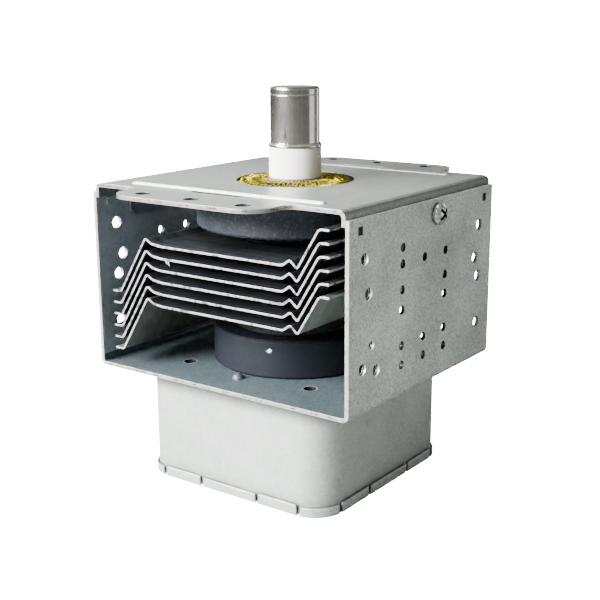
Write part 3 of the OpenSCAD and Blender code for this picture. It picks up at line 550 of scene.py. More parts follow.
@dataclass(frozen=True)
class MetalFinish:
    """A metal surface with a mottled coat, rolled lines, sheared edges and handling marks."""

    name: str
    tone: Colour
    cloud_tone: Colour
    metallic: float = 0.9
    roughness: float = 0.42
    cloud_scale: float = 60.0
    cloud_share: float = 0.5
    fleck_scale: float = 900.0
    fleck_share: float = 0.25
    grain: Grain = Grain.NONE
    grain_share: float = 0.2
    cut: Cut = Cut.NONE
    cut_tone: Colour = (0.86, 0.86, 0.85)
    rust_tone: Colour = (0.50, 0.44, 0.35)
    # Tone of the painted shade in hole walls and in the lid's seams.
    recess_shade_tone: Colour = (0.06, 0.06, 0.06)
    # Edge tone and share: a painted edge highlight along sharp edges, partly edge wear.
    edge_tone: Colour = (0.92, 0.92, 0.90)
    edge_share: float = 0.35
    smudge_share: float = 0.15
    scratch_share: float = 0.3
    edge_radius: float = 0.25 * MM
    relief: float = 0.02 * MM
    zones: tuple[Zone, ...] = ()
    bores: Bores | None = None
    fracture: Fracture | None = None
    painted_shade: ShadeRamp | None = None
    torn_scale: float = 700.0
    torn_from: float = 0.54
    # Share, reach and tone of the painted shade in shut corners.
    occlusion_share: float = 0.0
    occlusion_reach: float = 2.0 * MM
    occlusion_tone: Colour = (0.03, 0.03, 0.03)
    bead_highlight: BeadHighlight | None = None
    crease: Crease | None = None
    # Painted shade along the top edge and the ends of each lid segment.
    seam_shade: bool = False

    def coat(self, s: Canvas) -> tuple[Plug, Plug]:
        """Works out the coat's colour, and its height for the relief.

        Args:
            s: the material's shader.

        Returns:
            The colour's and the height's sockets.
        """
        cloud, fleck = s.bloom["Cloud"], s.bloom["Fleck"]
        marks = s.effect(Effect.MARKS)
        colour = s.mix(s.times(cloud, self.cloud_share), self.tone, self.cloud_tone)
        light = s.spread(fleck, *FLECK_RANGE, 1.0 - self.fleck_share, 1.0 + self.fleck_share)
        height = s.times(fleck, 0.5)
        for zone in self.zones:
            inner = zone.mask(s)
            colour = s.mix(inner, colour, zone.tone)
            calm = s.spread(cloud, 0.0, 1.0, 1.12, 0.86)
            speck = s.spread(fleck, *FLECK_RANGE, 1.0 - zone.fleck, 1.0 + zone.fleck)
            light = s.spread(inner, 0.0, 1.0, light, s.times(calm, speck))
            height = s.times(height, s.math("SUBTRACT", 1.0, inner))
        # Painted shade: the coat darkens along the ramp.
        if self.painted_shade is not None:
            light = s.times(light, self.painted_shade.light(s))
        if self.grain is not Grain.NONE:
            line = s.effect(Effect.GRAIN, {"Stretch": self.grain.value})["Line"]
            light = s.times(light, s.spread(line, 0.0, 1.0, 1.0 - self.grain_share, 1.0 + self.grain_share))
            height = s.math("ADD", height, line)
        smudge = s.times(marks["Smudge"], self.smudge_share)
        light = s.times(light, s.math("SUBTRACT", 1.0, smudge))
        scratch = s.times(marks["Scratch"], self.scratch_share)
        return s.mix(scratch, s.scaled(colour, light), self.cut_tone), height

    def sheared(self, s: Canvas, colour: Plug, torn: Plug) -> Socket:
        """Bares the sheared faces, and darkens the hole walls with painted shade.

        Args:
            s: the material's shader.
            colour: the coat's colour.
            torn: noise that roughens the faces.

        Returns:
            The new colour's socket.
        """
        shear = self.cut.value
        plugs = {
            "Sheet Normal": shear.sheet_normal,
            "Band Low": shear.band_low,
            "Band High": shear.band_high,
            "Hole Reach": shear.hole_reach,
        }
        cut = s.effect(Effect.CUT, plugs)
        rough_line = s.spread(torn, self.torn_from, self.torn_from + 0.1, 0.0, 0.4 if self.fracture else 1.0)
        if self.fracture is not None:
            rough_line = s.math("MAXIMUM", rough_line, self.fracture.mask(s, torn))
        colour = s.mix(cut["Mask"], colour, s.mix(rough_line, self.cut_tone, self.rust_tone))
        # Painted shade: the hole walls take the dark recess shade tone.
        return s.mix(cut["Hole"], colour, self.recess_shade_tone)

    def material(self) -> Material:
        """Builds the finish.

        Returns:
            The material, with all its colour and relief from nodes.
        """
        s = Canvas(self.name, self.cloud_scale, self.fleck_scale, self.edge_radius)
        colour, height = self.coat(s)
        rough = s.spread(s.bloom["Cloud"], 0.0, 1.0, self.roughness * 0.85, self.roughness * 1.15)
        torn = s.noise(s.here, self.torn_scale, 4.0, 0.6)
        if self.cut is not Cut.NONE:
            colour = self.sheared(s, colour, torn)
        # Sharp edges go towards the edge tone: a painted edge highlight, partly edge wear.
        wear_and_edge_highlight = s.times(s.soft["Edge"], s.spread(torn, 0.62, 0.42, 0.3, 1.0))
        colour = s.mix(s.times(wear_and_edge_highlight, self.edge_share), colour, self.edge_tone)
        if self.bores is not None:
            colour = self.bores.paint(s, colour)
        # Painted shade: the colour darkens where the space near a point is shut.
        if self.occlusion_share > 0.0:
            occluded = s.effect(Effect.OCCLUSION_SHADE, {"Reach": self.occlusion_reach})["Painted Shade"]
            colour = s.mix(s.times(occluded, self.occlusion_share), colour, self.occlusion_tone)
        metal = self.metallic
        for zone in self.zones:
            if zone.metallic is not None:
                metal = s.spread(zone.mask(s), 0.0, 1.0, metal, zone.metallic)
        # Painted highlight along the pressed beads, made less metallic so that it reads white.
        if self.bead_highlight is not None:
            highlight_strip = s.times(self.bead_highlight.mask(s), s.spread(torn, 0.7, 0.5, 0.5, 1.0))
            colour = s.mix(highlight_strip, colour, self.bead_highlight.tone)
            metal = s.math("SUBTRACT", metal, s.times(highlight_strip, 0.7))
        s.plug(s.surface["Metallic"], metal)
        # Painted shade: the top edge and the ends of each lid segment darken, as shade falls in the gap
        # behind them.
        if self.seam_shade:
            rim = s.split(s.add("UVMap", uv_map="rim").outputs[0])
            top, end = s.spread(rim["Y"], 0.90, 0.96), s.spread(rim["X"], 0.004, 0.016, 1.0, 0.0)
            colour = s.mix(s.times(s.math("MAXIMUM", top, end), 0.85), colour, self.recess_shade_tone)
        if self.crease is not None:
            height = s.math("ADD", height, s.times(self.crease.height(s), self.crease.depth / self.relief))
        return s.finish(colour, rough, height, self.relief)


@dataclass(frozen=True)
class MineralFinish:
    """A non-metal surface, such as ferrite, ceramic or resin, with specks and a fine grain."""

    name: str
    tone: Colour
    cloud_tone: Colour
    speck_tone: Colour
    roughness: float = 0.6
    cloud_scale: float = 80.0
    speck_scale: float = 1200.0
    speck_low: float = 0.62
    edge_tone: Colour = (0.10, 0.11, 0.12)
    edge_share: float = 0.3
    edge_radius: float = 0.3 * MM
    relief: float = 0.06 * MM
    gloss: float = 0.5
    painted_shade: ShadeRamp | None = None
    shade_tone: Colour = (0.36, 0.33, 0.24)
    chip: Triple | None = None
    chip_tone: Colour = (0.72, 0.74, 0.76)
    chip_size: float = 0.9 * MM
    chip_scale: float = 1500.0

    def material(self) -> Material:
        """Builds the finish.

        Returns:
            The material, with all its colour and relief from nodes.
        """
        s = Canvas(self.name, self.cloud_scale, self.speck_scale, self.edge_radius)
        grain = s.noise(s.here, self.speck_scale, 3.0, 0.6)
        colour = s.mix(s.bloom["Cloud"], self.tone, self.cloud_tone)
        colour = s.mix(s.spread(grain, self.speck_low, self.speck_low + 0.12), colour, self.speck_tone)
        # Sharp edges go towards the edge tone: a painted edge highlight, partly edge wear.
        colour = s.mix(s.times(s.soft["Edge"], self.edge_share), colour, self.edge_tone)
        # Painted shade: along the ramp the colour goes to the shade tone.
        if self.painted_shade is not None:
            colour = s.mix(self.painted_shade.light(s), self.shade_tone, colour)
        if self.chip is not None:
            ragged = s.times(s.noise(s.here, self.chip_scale, 3.0, 0.7), 1.6 * self.chip_size)
            offset = s.vector("MULTIPLY", s.vector("SUBTRACT", s.here, self.chip), (1.0, 1.0, 1.9))
            reach = s.math("ADD", s.vector("LENGTH", offset), ragged)
            flake = s.spread(reach, 0.95 * self.chip_size, 1.05 * self.chip_size, 1.0, 0.0)
            colour = s.mix(flake, colour, self.chip_tone)
        s.plug(s.surface["Specular IOR Level"], self.gloss)
        rough = s.spread(s.bloom["Fleck"], *FLECK_RANGE, self.roughness * 0.85, self.roughness * 1.1)
        return s.finish(colour, rough, grain, self.relief)


YOKE_ZINC = MetalFinish(
    "yoke_zinc", (0.68, 0.755, 0.69), (0.40, 0.455, 0.41), metallic=0.5, roughness=0.46, cloud_scale=38.0,
    cloud_share=0.85, fleck_scale=2500.0, fleck_share=0.3, cut=Cut.YOKE, cut_tone=(0.41, 0.41, 0.365),
    rust_tone=(0.055, 0.042, 0.027), edge_radius=0.12 * MM, edge_share=0.2,
    fracture=Fracture(57.3 * MM, 58.5 * MM),
    # Painted shade: the coat darkens towards the back and the top.
    painted_shade=ShadeRamp((0.0, 0.8, 0.6), -38.0 * MM, -12.0 * MM, 0.8),
    bores=Bores(23.5 * MM, 25.3 * MM, 2.04 * MM, (0.012, 0.012, 0.012), 0.4 * MM, (0.26, 0.30, 0.31)),
    zones=(
        # Painted shade: the floor and the walls inside the yoke take dark bluish tones.
        Zone((0.0, 0.0, -57.9 * MM), (46.9 * MM, FAR, -55.0 * MM), (0.078, 0.105, 0.116), 0.4),
        Zone((0.0, 0.0, -55.0 * MM), (46.9 * MM, FAR, FAR), (0.34, 0.40, 0.43), 0.08),
        # Painted shade in a small recess of the outer wall.
        Zone((46.95 * MM, 34.1 * MM, -7.4 * MM), (47.2 * MM, 36.7 * MM, -4.8 * MM), (0.03, 0.03, 0.03)),
        # Hole walls in the side walls: painted shade in the middle rows, a painted highlight in the rows
        # towards the front and the back, and painted shade on the inner half of the front rows, partly
        # standing for the torn band of a punched hole.
        Zone((46.35 * MM, 0.0, -55.0 * MM), (47.45 * MM, 22.0 * MM, -8.0 * MM), (0.014, 0.014, 0.013)),
        Zone((46.35 * MM, 22.0 * MM, -55.0 * MM), (47.45 * MM, 39.5 * MM, -8.0 * MM), (0.58, 0.59, 0.56)),
        Zone(
            (46.35 * MM, -39.5 * MM, -55.0 * MM), (46.98 * MM, -22.0 * MM, -8.0 * MM), (0.014, 0.014, 0.013),
            mirrored=False,
        ),
        # Painted shade in a small recess of the outer wall.
        Zone((46.95 * MM, 12.0 * MM, -15.6 * MM), (47.2 * MM, 15.0 * MM, -12.6 * MM), (0.10, 0.10, 0.10)),
    ),
)
PLATE_ZINC = MetalFinish(
    "plate_zinc", (0.485, 0.53, 0.485), (0.37, 0.41, 0.375), metallic=0.85, roughness=0.36,
    edge_radius=0.12 * MM, cloud_scale=42.0, cloud_share=0.6, fleck_share=0.07,
    grain=Grain.INWARD, grain_share=0.09,
    cut=Cut.PLATE, cut_tone=(0.44, 0.43, 0.385), rust_tone=(0.07, 0.055, 0.035), edge_share=0.4,
    fracture=Fracture(0.0, 1.2 * MM),
    # Painted shade: the coat darkens towards the back.
    painted_shade=ShadeRamp((0.0, 1.0, 0.0), -10.0 * MM, 42.0 * MM, 0.52),
    zones=(
        # Painted shade on the underside, in the pressed slot, and on the bend down to the side wall.
        Zone((0.0, 0.0, -FAR), (45.8 * MM, FAR, -0.9 * MM), (0.32, 0.38, 0.40)),
        Zone((0.0, 36.4 * MM, -0.9 * MM), (9.6 * MM, 39.2 * MM, -0.04 * MM), (0.02, 0.02, 0.02)),
        Zone((45.6 * MM, 0.0, -FAR), (FAR, 40.7 * MM, -0.08 * MM), (0.235, 0.245, 0.23), 0.1),
    ),
    bead_highlight=BeadHighlight(35.6 * MM, 0.85 * MM, 35.6 * MM, (0.95, 0.95, 0.94)),
)
# Painted reflections: bright and dark blotches on the head; painted shade in its cross recess.
SCREW_ZINC = MetalFinish(
    "screw_zinc", (0.98, 0.99, 0.98), (0.10, 0.11, 0.105), metallic=0.85, roughness=0.16, cloud_scale=520.0,
    cloud_share=1.0, fleck_share=0.05,
    occlusion_share=0.95, occlusion_reach=1.4 * MM, occlusion_tone=(0.015, 0.016, 0.016),
)
FLANGE_ZINC = MetalFinish(
    "flange_zinc", (0.60, 0.64, 0.61), (0.50, 0.53, 0.51), metallic=0.8, roughness=0.4, fleck_share=0.1,
)
SEAL_METAL = MetalFinish(
    "seal_metal", (0.14, 0.135, 0.12), (0.09, 0.085, 0.08), fleck_share=0.12,
)
# Painted shade: seal metal darkened for the input seal cup, whose flange sits in shade.
SHADED_SEAL = MetalFinish(
    "shaded_seal", (0.040, 0.038, 0.036), (0.026, 0.025, 0.024), metallic=0.7, roughness=0.6, fleck_share=0.12,
    edge_share=0.05,
)
CAP_STEEL = MetalFinish(
    "cap_steel", (0.50, 0.485, 0.44), (0.40, 0.39, 0.35), metallic=1.0, roughness=0.19,
    fleck_share=0.04, grain=Grain.UPRIGHT, grain_share=0.14, cloud_scale=140.0, relief=0.002 * MM,
    smudge_share=0.05, scratch_share=0.05, edge_share=0.12,
    # Painted highlight: a brighter band round the flare at the cap's foot.
    zones=(Zone((0.0, 0.0, 10.9 * MM), (FAR, FAR, 11.35 * MM), (0.66, 0.65, 0.61), metallic=0.9),),
    crease=Crease((1.69 * MM, -7.51 * MM, 13.6 * MM), (0.975, 0.22, 0.0), 0.45 * MM, 3.0 * MM, 0.16 * MM),
)
BRAID_BRASS = MetalFinish(
    "braid_brass", (0.42, 0.325, 0.016), (0.21, 0.165, 0.008), metallic=1.0, roughness=0.33,
    fleck_scale=1500.0, fleck_share=0.5, cloud_scale=260.0, cloud_share=0.8, edge_radius=0.03 * MM,
    edge_share=0.0, scratch_share=0.0,
    # Painted shade between the crumbs of crushed wire.
    occlusion_share=0.9, occlusion_reach=0.8 * MM, occlusion_tone=(0.02, 0.015, 0.002),
)
# Painted shade: the fin faces are near black, with more painted shade between the fins; the wings past 33 mm
# to the right are painted lighter, as painted light.
FIN_ALUMINIUM = MetalFinish(
    "fin_aluminium", (0.17, 0.19, 0.21), (0.009, 0.011, 0.014), roughness=0.36, cloud_scale=22.0,
    cloud_share=1.0, fleck_share=0.03, grain=Grain.ACROSS, grain_share=0.75, torn_from=0.53, cut=Cut.FIN,
    cut_tone=(0.66, 0.67, 0.68), rust_tone=(0.12, 0.13, 0.15), edge_radius=0.1 * MM, smudge_share=0.03,
    scratch_share=0.05, edge_share=0.2,
    occlusion_share=0.4, occlusion_reach=9.0 * MM, occlusion_tone=(0.008, 0.008, 0.009),
    zones=(Zone((33.0 * MM, -FAR, -FAR), (FAR, FAR, FAR), (0.20, 0.215, 0.21), 0.05, mirrored=False),),
)
# Painted light: a copy of the fin finish whose wings are painted lighter, where light from below falls on
# them.
LOWEST_FIN_LIT = replace(
    FIN_ALUMINIUM, name="lowest_fin_lit_wings", grain_share=0.12,
    zones=(
        Zone((30.4 * MM, -FAR, -FAR), (FAR, FAR, FAR), (0.50, 0.495, 0.43), mirrored=False),
        Zone((-FAR, -FAR, -FAR), (-25.5 * MM, FAR, FAR), (0.42, 0.42, 0.37), mirrored=False),
    ),
)
BURR_ALUMINIUM = MetalFinish(
    "burr_aluminium", (0.80, 0.81, 0.82), (0.55, 0.56, 0.57), metallic=0.6, roughness=0.4,
    edge_radius=0.05 * MM,
)
COPPER = MetalFinish(
    "anode_copper", (0.72, 0.40, 0.24), (0.50, 0.26, 0.16), metallic=1.0, roughness=0.36, fleck_share=0.1,
)
# Painted shade: copper darkened to near black for the anode cylinder, which sits in shade.
SHADED_COPPER = MetalFinish(
    "shaded_copper", (0.030, 0.020, 0.016), (0.018, 0.013, 0.011), metallic=0.6, roughness=0.65,
    fleck_share=0.15, edge_share=0.1,
)
POLE_IRON = MetalFinish(
    "pole_iron", (0.030, 0.030, 0.032), (0.020, 0.020, 0.022), metallic=0.6, roughness=0.6, fleck_share=0.15,
    edge_share=0.1,
)
CATHODE_METAL = MetalFinish(
    "cathode_metal", (0.36, 0.37, 0.39), (0.25, 0.25, 0.27), metallic=1.0, roughness=0.4, fleck_share=0.1,
)
LUG_TIN = MetalFinish(
    "lug_tin", (0.62, 0.61, 0.57), (0.50, 0.48, 0.44), metallic=1.0, roughness=0.34, fleck_share=0.1,
)
# Painted shadow: the occlusion shade and the shade ramp darken the box's top, under the yoke's overhang.
BOX_TIN = MetalFinish(
    "box_tin", (0.49, 0.53, 0.493), (0.372, 0.405, 0.375), metallic=0.35, roughness=0.5, cloud_scale=55.0,
    cloud_share=0.9, fleck_scale=1500.0, fleck_share=0.09, smudge_share=0.2, scratch_share=0.12,
    occlusion_share=0.8, occlusion_reach=8.0 * MM, occlusion_tone=(0.05, 0.053, 0.05),
    painted_shade=ShadeRamp((0.0, 0.0, 1.0), -65.0 * MM, -59.4 * MM, 0.3),
)
LID_TIN = MetalFinish(
    "lid_tin", (0.46, 0.535, 0.475), (0.36, 0.42, 0.375), metallic=0.4, roughness=0.46,
    recess_shade_tone=(0.13, 0.13, 0.125), fleck_scale=1500.0, fleck_share=0.16, smudge_share=0.1, seam_shade=True,
)
CHOKE_ENAMEL = MetalFinish(
    "choke_enamel", (0.48, 0.20, 0.09), (0.36, 0.14, 0.06), metallic=0.6, roughness=0.25, fleck_share=0.06,
)
RIVET_METAL = MetalFinish(
    "rivet_metal", (0.60, 0.61, 0.61), (0.48, 0.49, 0.50), metallic=1.0, roughness=0.34, fleck_share=0.1,
)
# One ferrite in two tones: the upper magnet painted lighter, as painted light, and the lower darker; both
# carry painted shade towards the camera's right.
UPPER_FERRITE = MineralFinish(
    "upper_ferrite", (0.038, 0.044, 0.055), (0.028, 0.034, 0.043), (0.064, 0.071, 0.083), roughness=0.62,
    speck_scale=1300.0, speck_low=0.52, gloss=0.25,
    painted_shade=ShadeRamp(PICTURE_RIGHT, -5.0 * MM, 17.0 * MM), shade_tone=(0.021, 0.025, 0.031),
)
LOWER_FERRITE = MineralFinish(
    "lower_ferrite", (0.0055, 0.0075, 0.0115), (0.0042, 0.0057, 0.0088), (0.0088, 0.0113, 0.0168),
    roughness=0.62, speck_scale=3000.0, speck_low=0.54, relief=0.02 * MM, gloss=0.18,
    edge_tone=(0.05, 0.055, 0.06),
    chip=(8.3 * MM, -25.2 * MM, -48.5 * MM), chip_size=3.3 * MM,
    painted_shade=ShadeRamp(PICTURE_RIGHT, -10.0 * MM, 19.0 * MM), shade_tone=(0.0032, 0.0042, 0.006),
)
CORE_FERRITE = MineralFinish(
    "core_ferrite", (0.05, 0.05, 0.052), (0.03, 0.03, 0.03), (0.12, 0.12, 0.12), roughness=0.5,
)
# Painted shade towards the camera's right, going to a warm shade tone that stands for light bounced from the
# brass.
WHITE_CERAMIC = MineralFinish(
    "white_ceramic", (0.94, 0.92, 0.855), (0.92, 0.90, 0.83), (0.95, 0.935, 0.88), roughness=0.42,
    relief=0.01 * MM, speck_low=0.66, edge_tone=(0.95, 0.95, 0.94),
    painted_shade=ShadeRamp(PICTURE_RIGHT, 2.2 * MM, 7.4 * MM),
)
BLUE_RESIN = MineralFinish(
    "blue_resin", (0.04, 0.12, 0.22), (0.03, 0.09, 0.18), (0.07, 0.17, 0.28), roughness=0.35,
    relief=0.02 * MM,
)


def dress(material: Material, *names: str) -> None:
    """Gives CAD nodes a material in their own slots.

    Args:
        material: the finish.
        *names: the nodes.
    """
    for name in names:
        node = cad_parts[name]
        if not node.material_slots:
            node.data.materials.append(material)
        for slot in node.material_slots:
            slot.material = material
        LOG.info("%s wears %s", name, material.name)


def sheet_faces(rows: int, columns: int, loop_rows: bool, loop_columns: bool) -> np.ndarray:
    """Corner numbers of the quads of a grid whose points run row by row.

    Args:
        rows: rows of points.
        columns: points in a row.
        loop_rows: whether the last row joins the first.
        loop_columns: whether each row's last point joins its first.

    Returns:
        An array of quads, four numbers each.
    """
    i = np.arange(rows if loop_rows else rows - 1)[:, None]
    j = np.arange(columns if loop_columns else columns - 1)[None, :]
    i2 = (i + 1) % rows
    j2 = (j + 1) % columns
    corners = (i * columns + j, i2 * columns + j, i2 * columns + j2, i * columns + j2)
    return np.stack(np.broadcast_arrays(*corners), -1).reshape(-1, 4)


def place_piece(
    name: str,
    points: np.ndarray,
    faces: list[list[int]],
    material: Material,
    slot: str,
    rim: np.ndarray | None = None,
) -> bpy.types.Object:
    """Makes a smooth mesh piece that rides on the part.

    Args:
        name: the piece's name.
        points: its points, in metres.
        faces: corner numbers, one face a row.
        material: its finish.
        slot: the record's material slot that it stands for; not used.
        rim: two numbers a point for the UV map of that name, or None.

    Returns:
        The new object, at the origin.
    """
    mesh = bpy.data.meshes.new(name)
    mesh.from_pydata(points.reshape(-1, 3).tolist(), [], faces)
    mesh.polygons.foreach_set("use_smooth", np.ones(len(mesh.polygons), dtype=bool))
    mesh.materials.append(material)
    if rim is not None:
        corners = np.empty(len(mesh.loops), dtype=np.int32)
        mesh.loops.foreach_get("vertex_index", corners)
        mesh.uv_layers.new(name="rim").data.foreach_set("uv", rim.reshape(-1, 2)[corners].ravel())
    mesh.update()
    piece = bpy.data.objects.new(name, mesh)
    bpy.context.scene.collection.objects.link(piece)
    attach(piece, BODY)
    LOG.info("%s has %d faces", name, len(mesh.polygons))
    return piece


@dataclass
class BraidedGasket:
    """The braided brass ring in the plate's round opening: strands over a core of crushed wire."""

    ring_r: float = 13.65 * MM
    half_w: float = 3.95 * MM
    half_h: float = 0.55 * MM
    level: float = -0.62 * MM
    slope: float = 0.14
    bundles: int = 4
    wraps: int = 16
    wire_r: float = 0.30 * MM
    weave: float = 0.45 * MM
    core_lift: float = 0.05 * MM
    crumb: float = 0.24 * MM
    waves: int = 24
    sides: int = 5
    steps_per_crossing: int = 3
    stray: float = 0.03
    stray_seed: int = 7
    crumb_seed: int = 5
    waves_around: tuple[int, int] = (80, 185)
    waves_across: tuple[int, int] = (-16, 17)
    core_rows: int = 1200
    core_columns: int = 80

    def section(self, theta: np.ndarray, phi: np.ndarray, lift: np.ndarray) -> np.ndarray:
        """Places points on the ring's flat oval section.

        The section is an oval with a flattened top round the ring's middle line: its height goes with the
        root of the sine. It is grown by lift along its normal, and sheared so that its outer edge lies lower.

        Args:
            theta: angle round the ring.
            phi: angle round the section.
            lift: distance out of the section.

        Returns:
            Points, with X, Y and Z in the last place.
        """
        half = np.sign(np.sin(phi))
        steep = np.abs(np.sin(phi))
        out, up = np.cos(phi) / self.half_w, 2.0 * half * steep**1.5 / self.half_h
        size = np.sqrt(out**2 + up**2)
        r = self.ring_r + self.half_w * np.cos(phi) + lift * out / size
        z = self.level + self.half_h * half * np.sqrt(steep) + lift * up / size
        z = z - self.slope * (r - self.ring_r)
        return np.stack([r * np.cos(theta), r * np.sin(theta), z], -1)

    def crumbs(self, theta: np.ndarray, phi: np.ndarray) -> np.ndarray:
        """Works out the uneven heights of crushed wire: a sum of waves of random direction round the ring.

        Args:
            theta: angle round the ring.
            phi: angle round the section.

        Returns:
            Heights, about as large as the crumb size.
        """
        rng = np.random.default_rng(self.crumb_seed)
        around = rng.integers(*self.waves_around, self.waves)
        across = rng.integers(*self.waves_across, self.waves)
        start = 2.0 * np.pi * rng.random(self.waves)
        waves = np.cos(theta[..., None] * around + phi[..., None] * across + start)
        return self.crumb * waves.sum(-1) * math.sqrt(2.0 / self.waves)

    def strands(self) -> tuple[np.ndarray, list[list[int]]]:
        """Works out all wires as tubes.

        A wire turns round the section a whole number of times in one round of the ring. Wires of the
        two hands pass over and under each other on a cosine whose zeros lie between the crossings.

        Returns:
            The points and the faces of all tubes.
        """
        count = 2 * self.wraps * self.bundles * self.steps_per_crossing
        theta = np.linspace(0.0, 2.0 * np.pi, count, endpoint=False)[None, :]
        hand = np.repeat([1.0, -1.0], self.bundles)[:, None]
        bundle = np.tile(np.arange(self.bundles), 2)[:, None]
        stray = np.random.default_rng(self.stray_seed).normal(0.0, self.stray, bundle.shape)
        phi = 2.0 * np.pi * bundle / self.bundles + stray + hand * self.wraps * theta
        lift = hand * self.weave * np.cos(self.wraps * self.bundles * theta)
        theta = np.broadcast_to(theta, phi.shape)
        lift = lift + 0.5 * self.crumbs(theta, phi)
        line = self.section(theta, phi, lift)
        ahead = np.roll(line, -1, axis=1) - np.roll(line, 1, axis=1)
        ahead /= np.linalg.norm(ahead, axis=-1, keepdims=True)
        normal = self.section(theta, phi, lift + MM) - line
        normal -= np.sum(normal * ahead, -1, keepdims=True) * ahead
        normal /= np.linalg.norm(normal, axis=-1, keepdims=True)
        side = np.cross(ahead, normal)
        turn = 2.0 * np.pi * np.arange(self.sides) / self.sides
        rim = np.cos(turn)[:, None] * normal[:, :, None, :] + np.sin(turn)[:, None] * side[:, :, None, :]
        points = line[:, :, None, :] + self.wire_r * rim
        tube = sheet_faces(count, self.sides, True, True)
        starts = np.arange(len(points))[:, None, None] * count * self.sides
        return points.reshape(-1, 3), (tube[None] + starts).reshape(-1, 4).tolist()

    def core(self) -> tuple[np.ndarray, list[list[int]]]:
        """Works out the ring of crushed wire between the strands: the same section with uneven heights.

        Returns:
            The points and the faces of the ring.
        """
        theta, phi = np.meshgrid(
            np.linspace(0.0, 2.0 * np.pi, self.core_rows, endpoint=False),
            np.linspace(0.0, 2.0 * np.pi, self.core_columns, endpoint=False),
            indexing="ij",
        )
        points = self.section(theta, phi, self.core_lift + self.crumbs(theta, phi))
        return points.reshape(-1, 3), sheet_faces(*theta.shape, True, True)[:, ::-1].tolist()

    def build(self, brass: Material) -> None:
        """Makes the wires and the core, which stand for the gasket's solid.

        Args:
            brass: their finish.
        """
        wires = place_piece("gasket_wires", *self.strands(), brass, "brass_braid")
        core = place_piece("gasket_core", *self.core(), brass, "brass_braid")
        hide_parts("rf_gasket")
        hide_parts("rf_gasket")


@dataclass
class Yoke:
    """The folded yoke with its mounting plate and screws."""

    def build(self) -> None:
        """Dresses the yoke's solids."""
        dress(YOKE_ZINC.material(), "yoke_frame")
        dress(PLATE_ZINC.material(), "mounting_plate")
        dress(SCREW_ZINC.material(), "yoke_screws")


@dataclass
class OutputStage:
    """The antenna cap, its ceramic and seals, and the gasket."""

    gasket: BraidedGasket

    def build(self) -> None:
        """Dresses the output solids and makes the gasket."""
        dress(SEAL_METAL.material(), "output_seal_cup", "output_top_seal")
        dress(WHITE_CERAMIC.material(), "output_ceramic", "stem_ceramic")
        dress(CAP_STEEL.material(), "antenna_cap")
        self.gasket.build(BRAID_BRASS.material())
        dress(SHADED_SEAL.material(), "input_seal_cup")


@dataclass
class Burr:
    """Torn slivers of aluminium on a fin's front edge: their roots, tips, thickness and bow."""

    roots: np.ndarray = field(
        default_factory=lambda: MM * np.array([[-18.2, -40.7, -20.9], [-17.3, -40.7, -21.2]])
    )
    tips: np.ndarray = field(
        default_factory=lambda: MM * np.array([[-16.9, -41.5, -22.0], [-16.2, -41.3, -22.6]])
    )
    thick: float = 0.34 * MM
    bow: float = 0.35 * MM
    blunt: float = 0.04
    rows: int = 12
    sides: int = 6

    def surface(self) -> tuple[np.ndarray, list[list[int]]]:
        """Works out the slivers: a small circle carried along a bowed line, thinning to both ends.

        The line runs straight from root to tip, with half a sine wave upwards added. The radius goes with
        the root of half a sine wave.

        Returns:
            The points and the faces of all slivers.
        """
        share = np.linspace(0.0, 1.0, self.rows)[None, :, None]
        turn = 2.0 * np.pi * np.arange(self.sides) / self.sides
        line = self.roots[:, None] + (self.tips - self.roots)[:, None] * share
        line = line + self.bow * np.sin(np.pi * share) * np.array([0.0, 0.0, 1.0])
        radius = 0.5 * self.thick * np.sqrt(np.sin(self.blunt + (np.pi - 2.0 * self.blunt) * share))
        ring = np.stack([np.cos(turn) * 0.6, np.sin(turn), np.cos(turn) * 0.8], -1)
        points = line[:, :, None] + radius[:, :, None] * ring
        tube = sheet_faces(self.rows, self.sides, False, True)[:, ::-1]
        starts = np.arange(len(points))[:, None] * self.rows * self.sides
        first = starts + np.arange(self.sides)
        last = starts + (self.rows - 1) * self.sides + np.arange(self.sides)[::-1]
        quads = (tube[None] + starts[:, None]).reshape(-1, 4)
        return points.reshape(-1, 3), quads.tolist() + first.tolist() + last.tolist()

    def build(self, metal: Material) -> None:
        """Makes the slivers in a finish of their own."""
        place_piece("fin_burr", *self.surface(), metal, "fin_aluminium")


@dataclass
class TubeCore:
    """The magnets, the anode with its fins, and the cathode."""

    burr: Burr
    fins: int = 6

    def build(self) -> None:
        """Dresses the solids of the tube."""
        dress(UPPER_FERRITE.material(), "upper_magnet")
        dress(LOWER_FERRITE.material(), "lower_magnet")
        dress(POLE_IRON.material(), "upper_pole_piece", "lower_pole_piece")
        dress(COPPER.material(), "anode_vanes", "strap_rings", "exhaust_tube", "antenna_lead")
        dress(SHADED_COPPER.material(), "anode_cylinder")
        dress(FIN_ALUMINIUM.material(), *(f"cooling_fin_{i}" for i in range(1, self.fins)))
        dress(LOWEST_FIN_LIT.material(), f"cooling_fin_{self.fins}")
        self.burr.build(BURR_ALUMINIUM.material())
        dress(
            CATHODE_METAL.material(),
            "filament", "upper_end_hat", "lower_end_hat", "center_lead", "side_lead",
        )


